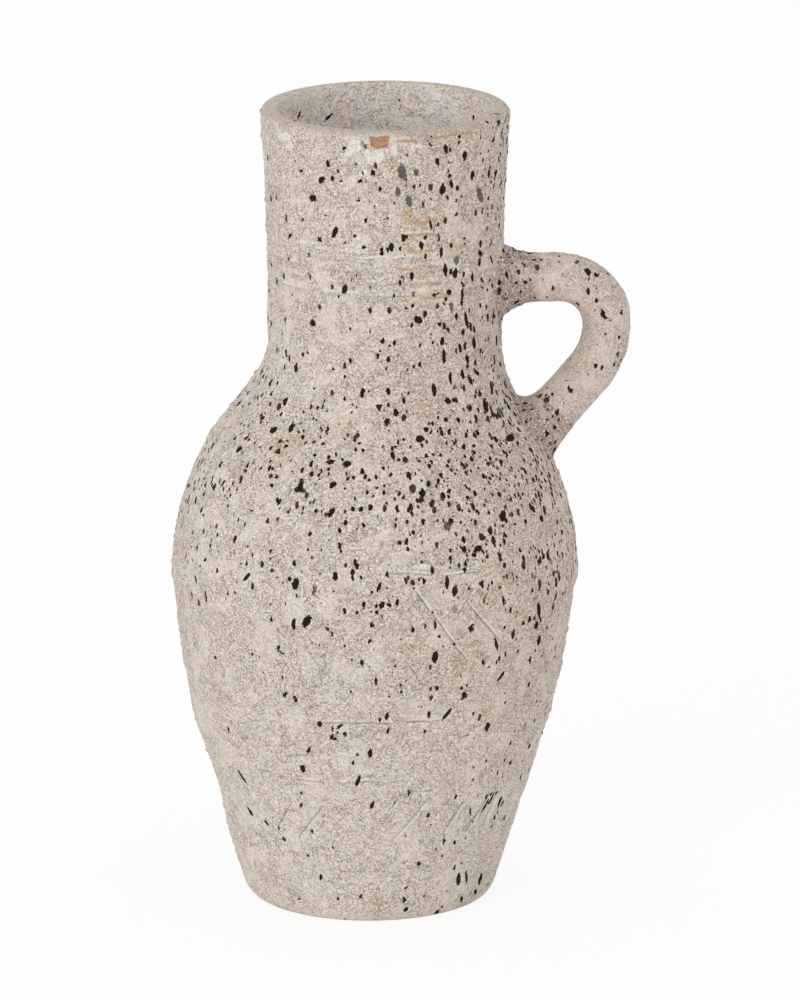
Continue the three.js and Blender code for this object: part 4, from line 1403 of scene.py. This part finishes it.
def sandy_coat(clay, shaded_warm, lit_cool, contrast):
    """Base tones, stains, wiped plates, and sand of many tones with pits, cracks and trails, with
    painted light inside and towards the foot, painted shade towards the handle, on the lip and in
    hollows, pits and cracks, and painted highlight on crests.
    """
    clay.smooth = clay.mask("smooth")
    slip = clay.mask("slip")
    inside = clay.field("inside")
    rough = clay.line(clay.math("MAXIMUM", clay.smooth, slip), -WIPED_SHARE, 1.0)
    rough = clay.times(rough, clay.line(clay.field("sand"), 1.0 - BARE_SHARE, BARE_SHARE))

    x, _, z = clay.node("SeparateXYZ", {0: clay.place})
    # Painted shade: the clay turns from its cool lit tone on the left to a warmer, darker tone towards
    # the handle, on the side away from the key lamp.
    side = clay.line(clay.noise("wide"), SIDE_SWING, clay.math("SUBTRACT", x, SIDE_SWING / 2))
    clay.colour = clay.blend(clay.ramp(side, *SIDE_EDGE), lit_cool, shaded_warm)
    # Painted light: the inside of the neck is laid much paler than the clay, lifting its shade.
    clay.lay("inside", inside)
    # Painted light: the clay grows paler down towards the foot.
    clay.lay("foot", clay.ramp(z, *FOOT_PAINTED_LIGHT_EDGE))
    clay.tint(clay.blend(clay.ramp(clay.noise("hue"), *HUE_EDGE), GREENISH_TINT, ROSY_TINT))
    stain = clay.noise("stain")
    clay.lay("brown", clay.ramp(stain, *BROWN_EDGE), contrast)
    soft = clay.line(stain, STAIN_SWING, clay.line(clay.fine, *FINE_STAIN))
    soft = clay.ramp(clay.math("ADD", soft, clay.field("stain")), *SOFT_STAIN_EDGE)
    stain_colour = clay.blend(clay.field("stain_salmon"), OLIVE_STAIN, SALMON_STAIN)
    clay.cover(clay.times(soft, clay.field("stain_strength")), stain_colour)
    clay.lay("smooth", clay.smooth)
    clay.lay("slip", slip)
    # Painted shade: the lip's flat top is laid darker.
    clay.lay("lip", clay.field("lip"))

    # The same noises stand in the relief, so that hollows are darker than crests: painted shade in the
    # hollows and painted highlight on the crests, over the sand's own grain tones.
    lumpy = clay.noise("lumpy")
    grit = clay.noise("grit")
    _, numbers = clay.cells(clay.vector("ADD", clay.place, SAND_PLACE), SAND_CELL)
    stands = clay.line(lumpy, LUMP_RISE, clay.times(grit, GRIT_RISE))
    clay.height = clay.line(stands, rough, clay.height)
    light = clay.line(lumpy, LUMP_LIGHT, -LUMP_LIGHT / 2)
    light = clay.line(clay.math("SUBTRACT", grit, 0.5), GRIT_LIGHT, light)
    light = clay.line(clay.math("SUBTRACT", numbers[0], 0.5), SAND_LIGHT, light)
    light = clay.times(light, rough)
    light = clay.line(clay.math("SUBTRACT", clay.fine, 0.5), FINE_LIGHT, light)
    light = clay.line(clay.field("relief"), RELIEF_PAINTED_SHADE, light)
    # Painted light lifts the inside's tone further.
    light = clay.line(inside, INSIDE_PAINTED_LIGHT, light)
    light = clay.times(light, clay.line(inside, INSIDE_CONTRAST, 1.0), contrast)
    # Above nought the coat turns to pale sand and painted highlight, below it to dark sand and painted
    # shade.
    clay.cover(clay.math("MULTIPLY", light, PALE_GAIN, clamp=True), PALE_SAND_AND_HIGHLIGHT)
    clay.cover(clay.math("MULTIPLY", light, -DARK_GAIN, clamp=True), DARK_SAND_AND_SHADE)

    # Pits are laid dark as painted shade where they sink into the sand.
    pits, _ = clay.specks("pits")
    clay.lay("pits", clay.times(pits, rough))
    clay.lift(pits, -PIT_DIP)
    clay.lay("pale", clay.specks("pale")[0])
    clay.lay("ochre", clay.specks("ochre")[0])
    # Dark cracks wind through the sand as painted shade in creases; the neck's ridges take the pale
    # trail tone on their crests and the crack tone in the hollows under them as painted shade.
    ridge = clay.times(clay.field("ridge"), clay.broken(*RIDGE_BROKEN))
    for name, band, way in (("trail", TRAIL_BAND, 1.0), ("crack", CRACK_BAND, -1.0)):
        winding = clay.times(clay.band(clay.noise(name), *band), rough)
        clay.lay(name, clay.math("MAXIMUM", winding, clay.times(ridge, way)))


def tool_marks(clay):
    """Scored lines with painted shade in their grooves and a pale burr, and scrapes that show the ochre
    body.
    """
    score = clay.field("score")
    groove = clay.times(clay.band(score, *GROOVE_BAND), clay.field("groove"))
    # Painted shade darkens each groove.
    clay.tint(clay.line(groove, -GROOVE_SHADE, 1.0))
    clay.lift(groove, -GROOVE_DIP)
    burr = clay.times(clay.band(score, *BURR_BAND), clay.field("burr"))
    clay.lay("burr", clay.times(burr, clay.broken(*BURR_BROKEN)))

    scraped = clay.times(clay.band(clay.field("scrape"), *SCRAPE_BAND), clay.field("scrape_near"))
    scraped = clay.times(scraped, clay.broken(*SCRAPE_BROKEN))
    body = clay.blend(clay.field("scrape_pink"), OCHRE_BODY, SALMON_BODY)
    clay.cover(clay.times(scraped, BODY_SHOWN), body)
    clay.lift(scraped, -SCRAPE_DIP)


def black_flecks(clay):
    """Iron specks melted out of the clay: dots, flecks, a few large ones, and faded grey ones."""
    crowd = clay.times(clay.line(clay.noise("crowd"), *CROWDING), clay.field("specks"))
    clay.lay("blobs", clay.specks("blobs", crowd)[0])
    clay.lay("dots", clay.specks("dots", crowd)[0])
    flecks, tone = clay.specks("small", crowd)
    flecks = clay.math("MAXIMUM", flecks, clay.specks("large", crowd)[0])
    crowded, _ = clay.specks("crowded", clay.math("SUBTRACT", crowd, CROWDED_FROM))
    flecks = clay.math("MAXIMUM", flecks, crowded)
    clay.cover(flecks, clay.blend(clay.ramp(tone, *BROWN_FLECK_EDGE), BLACK_FLECK, BROWN_FLECK))
    slate = clay.mask("slate")
    placed = clay.mask("fleck")
    clay.lay("slate", slate)
    clay.lay("placed", placed)
    clay.lift(clay.math("MAXIMUM", flecks, clay.math("MAXIMUM", placed, slate)), -FLECK_DIP)


def chipped_lip(clay):
    """A chip that shows the red body, with a pale ragged rim of slip round it."""
    chip = clay.ragged("chip", CHIP_SWING)
    rim = clay.times(clay.ramp(chip, *CHIP_RIM_OUTER), clay.ramp(chip, *CHIP_RIM_INNER))
    clay.lay("chip_rim", rim)
    bare = clay.blend(1.0, TERRACOTTA, clay.line(clay.fine, *BARE_SHADE), "MULTIPLY")
    clay.cover(clay.times(clay.ramp(chip, *CHIP_BARE_EDGE), BODY_SHOWN), bare)


def clay_material(name, shaded_warm, lit_cool, contrast):
    clay = Clay(name)
    sandy_coat(clay, shaded_warm, lit_cool, contrast)
    tool_marks(clay)
    black_flecks(clay)
    chipped_lip(clay)
    bump = clay.node("Bump", {"Strength": 1.0, "Distance": METRES, "Height": clay.height})[0]
    shader = clay.node("BsdfPrincipled", {
        "Base Color": clay.colour,
        "Roughness": clay.line(clay.smooth, -SMOOTHED_BY, COAT_ROUGHNESS),
        "Specular IOR Level": COAT_SPECULAR, "Normal": bump,
    })[0]
    clay.node("OutputMaterial", {"Surface": shader})
    return clay.material


# Floor, light and camera

FLOOR_SIZE = 8000.0
FLOOR_COLOUR = srgb(249, 248, 246)
WHITE = (1.0, 1.0, 1.0, 1.0)
SEEN_WHITE = 0.88
FILL_STRENGTH = 0.88
KEY_PLACE = (-1720.0, -2420.0, 1050.0)
KEY_SIZE = 900.0
KEY_WATTS = 20.5
FAR_CLIP = 100000.0


def make_floor():
    half = FLOOR_SIZE / 2 * METRES
    corners = [(-half, -half, 0.0), (half, -half, 0.0), (half, half, 0.0), (-half, half, 0.0)]
    mesh = bpy.data.meshes.new("floor")
    mesh.from_pydata(corners, [], [(0, 1, 2, 3)])
    material = bpy.data.materials.new("pale_floor")
    mesh.materials.append(material)
    nodes = Nodes(material)
    matt = nodes.node("BsdfDiffuse", {"Color": FLOOR_COLOUR})[0]
    white = nodes.node("Emission", {"Color": WHITE})[0]
    share = nodes.math("MULTIPLY", nodes.seen_directly(), SEEN_WHITE)
    mixed = nodes.node("MixShader", {0: share, 1: matt, 2: white})[0]
    nodes.node("OutputMaterial", {"Surface": mixed})
    floor = add_object("floor", mesh)


def make_light():
    world = bpy.data.worlds.new("studio")
    bpy.context.scene.world = world
    nodes = Nodes(world)
    seen = {"Value": nodes.seen_directly(), "To Min": FILL_STRENGTH, "To Max": 1.0}
    strength = nodes.node("MapRange", seen)[0]
    background = nodes.node("Background", {"Color": WHITE, "Strength": strength})[0]
    nodes.node("OutputWorld", {"Surface": background})

    lamp = bpy.data.lights.new("key", "AREA")
    lamp.energy = KEY_WATTS
    lamp.size = KEY_SIZE * METRES
    key = add_object("key", lamp)
    key.location = Vector(KEY_PLACE) * METRES
    target = Vector((0.0, 0.0, CAMERA_TARGET_Z)) * METRES
    key.rotation_euler = (target - key.location).to_track_quat("-Z", "Y").to_euler()


def make_camera():
    elevation = math.radians(CAMERA_ELEVATION_DEG)
    camera_data = bpy.data.cameras.new("camera")
    camera_data.sensor_fit = "HORIZONTAL"
    camera_data.sensor_width = SENSOR_WIDTH
    camera_data.lens = PIXELS_PER_MM * CAMERA_DISTANCE / PHOTO_WIDTH * SENSOR_WIDTH
    camera_data.shift_x = (PHOTO_WIDTH / 2 - TARGET_X_PX) / PHOTO_WIDTH
    camera_data.shift_y = (TARGET_Y_PX - PHOTO_HEIGHT / 2) / PHOTO_WIDTH
    camera_data.clip_end = FAR_CLIP * METRES
    camera = add_object("camera", camera_data)
    back = -CAMERA_DISTANCE * math.cos(elevation)
    up = CAMERA_TARGET_Z + CAMERA_DISTANCE * math.sin(elevation)
    camera.location = Vector((0.0, back, up)) * METRES
    camera.rotation_euler = (math.pi / 2 - elevation, 0.0, 0.0)
    bpy.context.scene.camera = camera


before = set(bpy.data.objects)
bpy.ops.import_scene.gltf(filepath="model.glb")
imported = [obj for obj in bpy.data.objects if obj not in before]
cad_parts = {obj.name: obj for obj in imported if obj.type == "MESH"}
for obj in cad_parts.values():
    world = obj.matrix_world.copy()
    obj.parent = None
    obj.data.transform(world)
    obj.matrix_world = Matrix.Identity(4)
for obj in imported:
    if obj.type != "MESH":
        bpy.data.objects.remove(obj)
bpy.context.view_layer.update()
bpy.context.scene.view_settings.view_transform = "Standard"
make_camera()
make_light()
make_floor()

clay_materials = {name: clay_material(name, *tones) for name, tones in CLAYS.items()}
turned_pieces(clay_materials)
handle_piece(clay_materials["handle_clay"])
luting_piece(
    "handle_upper_luting", UPPER_END, UPPER_LUTING_REACH,
    UPPER_LUTING_SPREAD_ABOVE, UPPER_LUTING_SPREAD_BELOW, clay_materials["luting_clay"],
)
luting_piece(
    "handle_lower_luting", LOWER_END, LOWER_LUTING_REACH,
    LOWER_LUTING_SPREAD_OUTSIDE, LOWER_LUTING_SPREAD_INSIDE, clay_materials["luting_clay"],
)

bpy.context.view_layer.update()
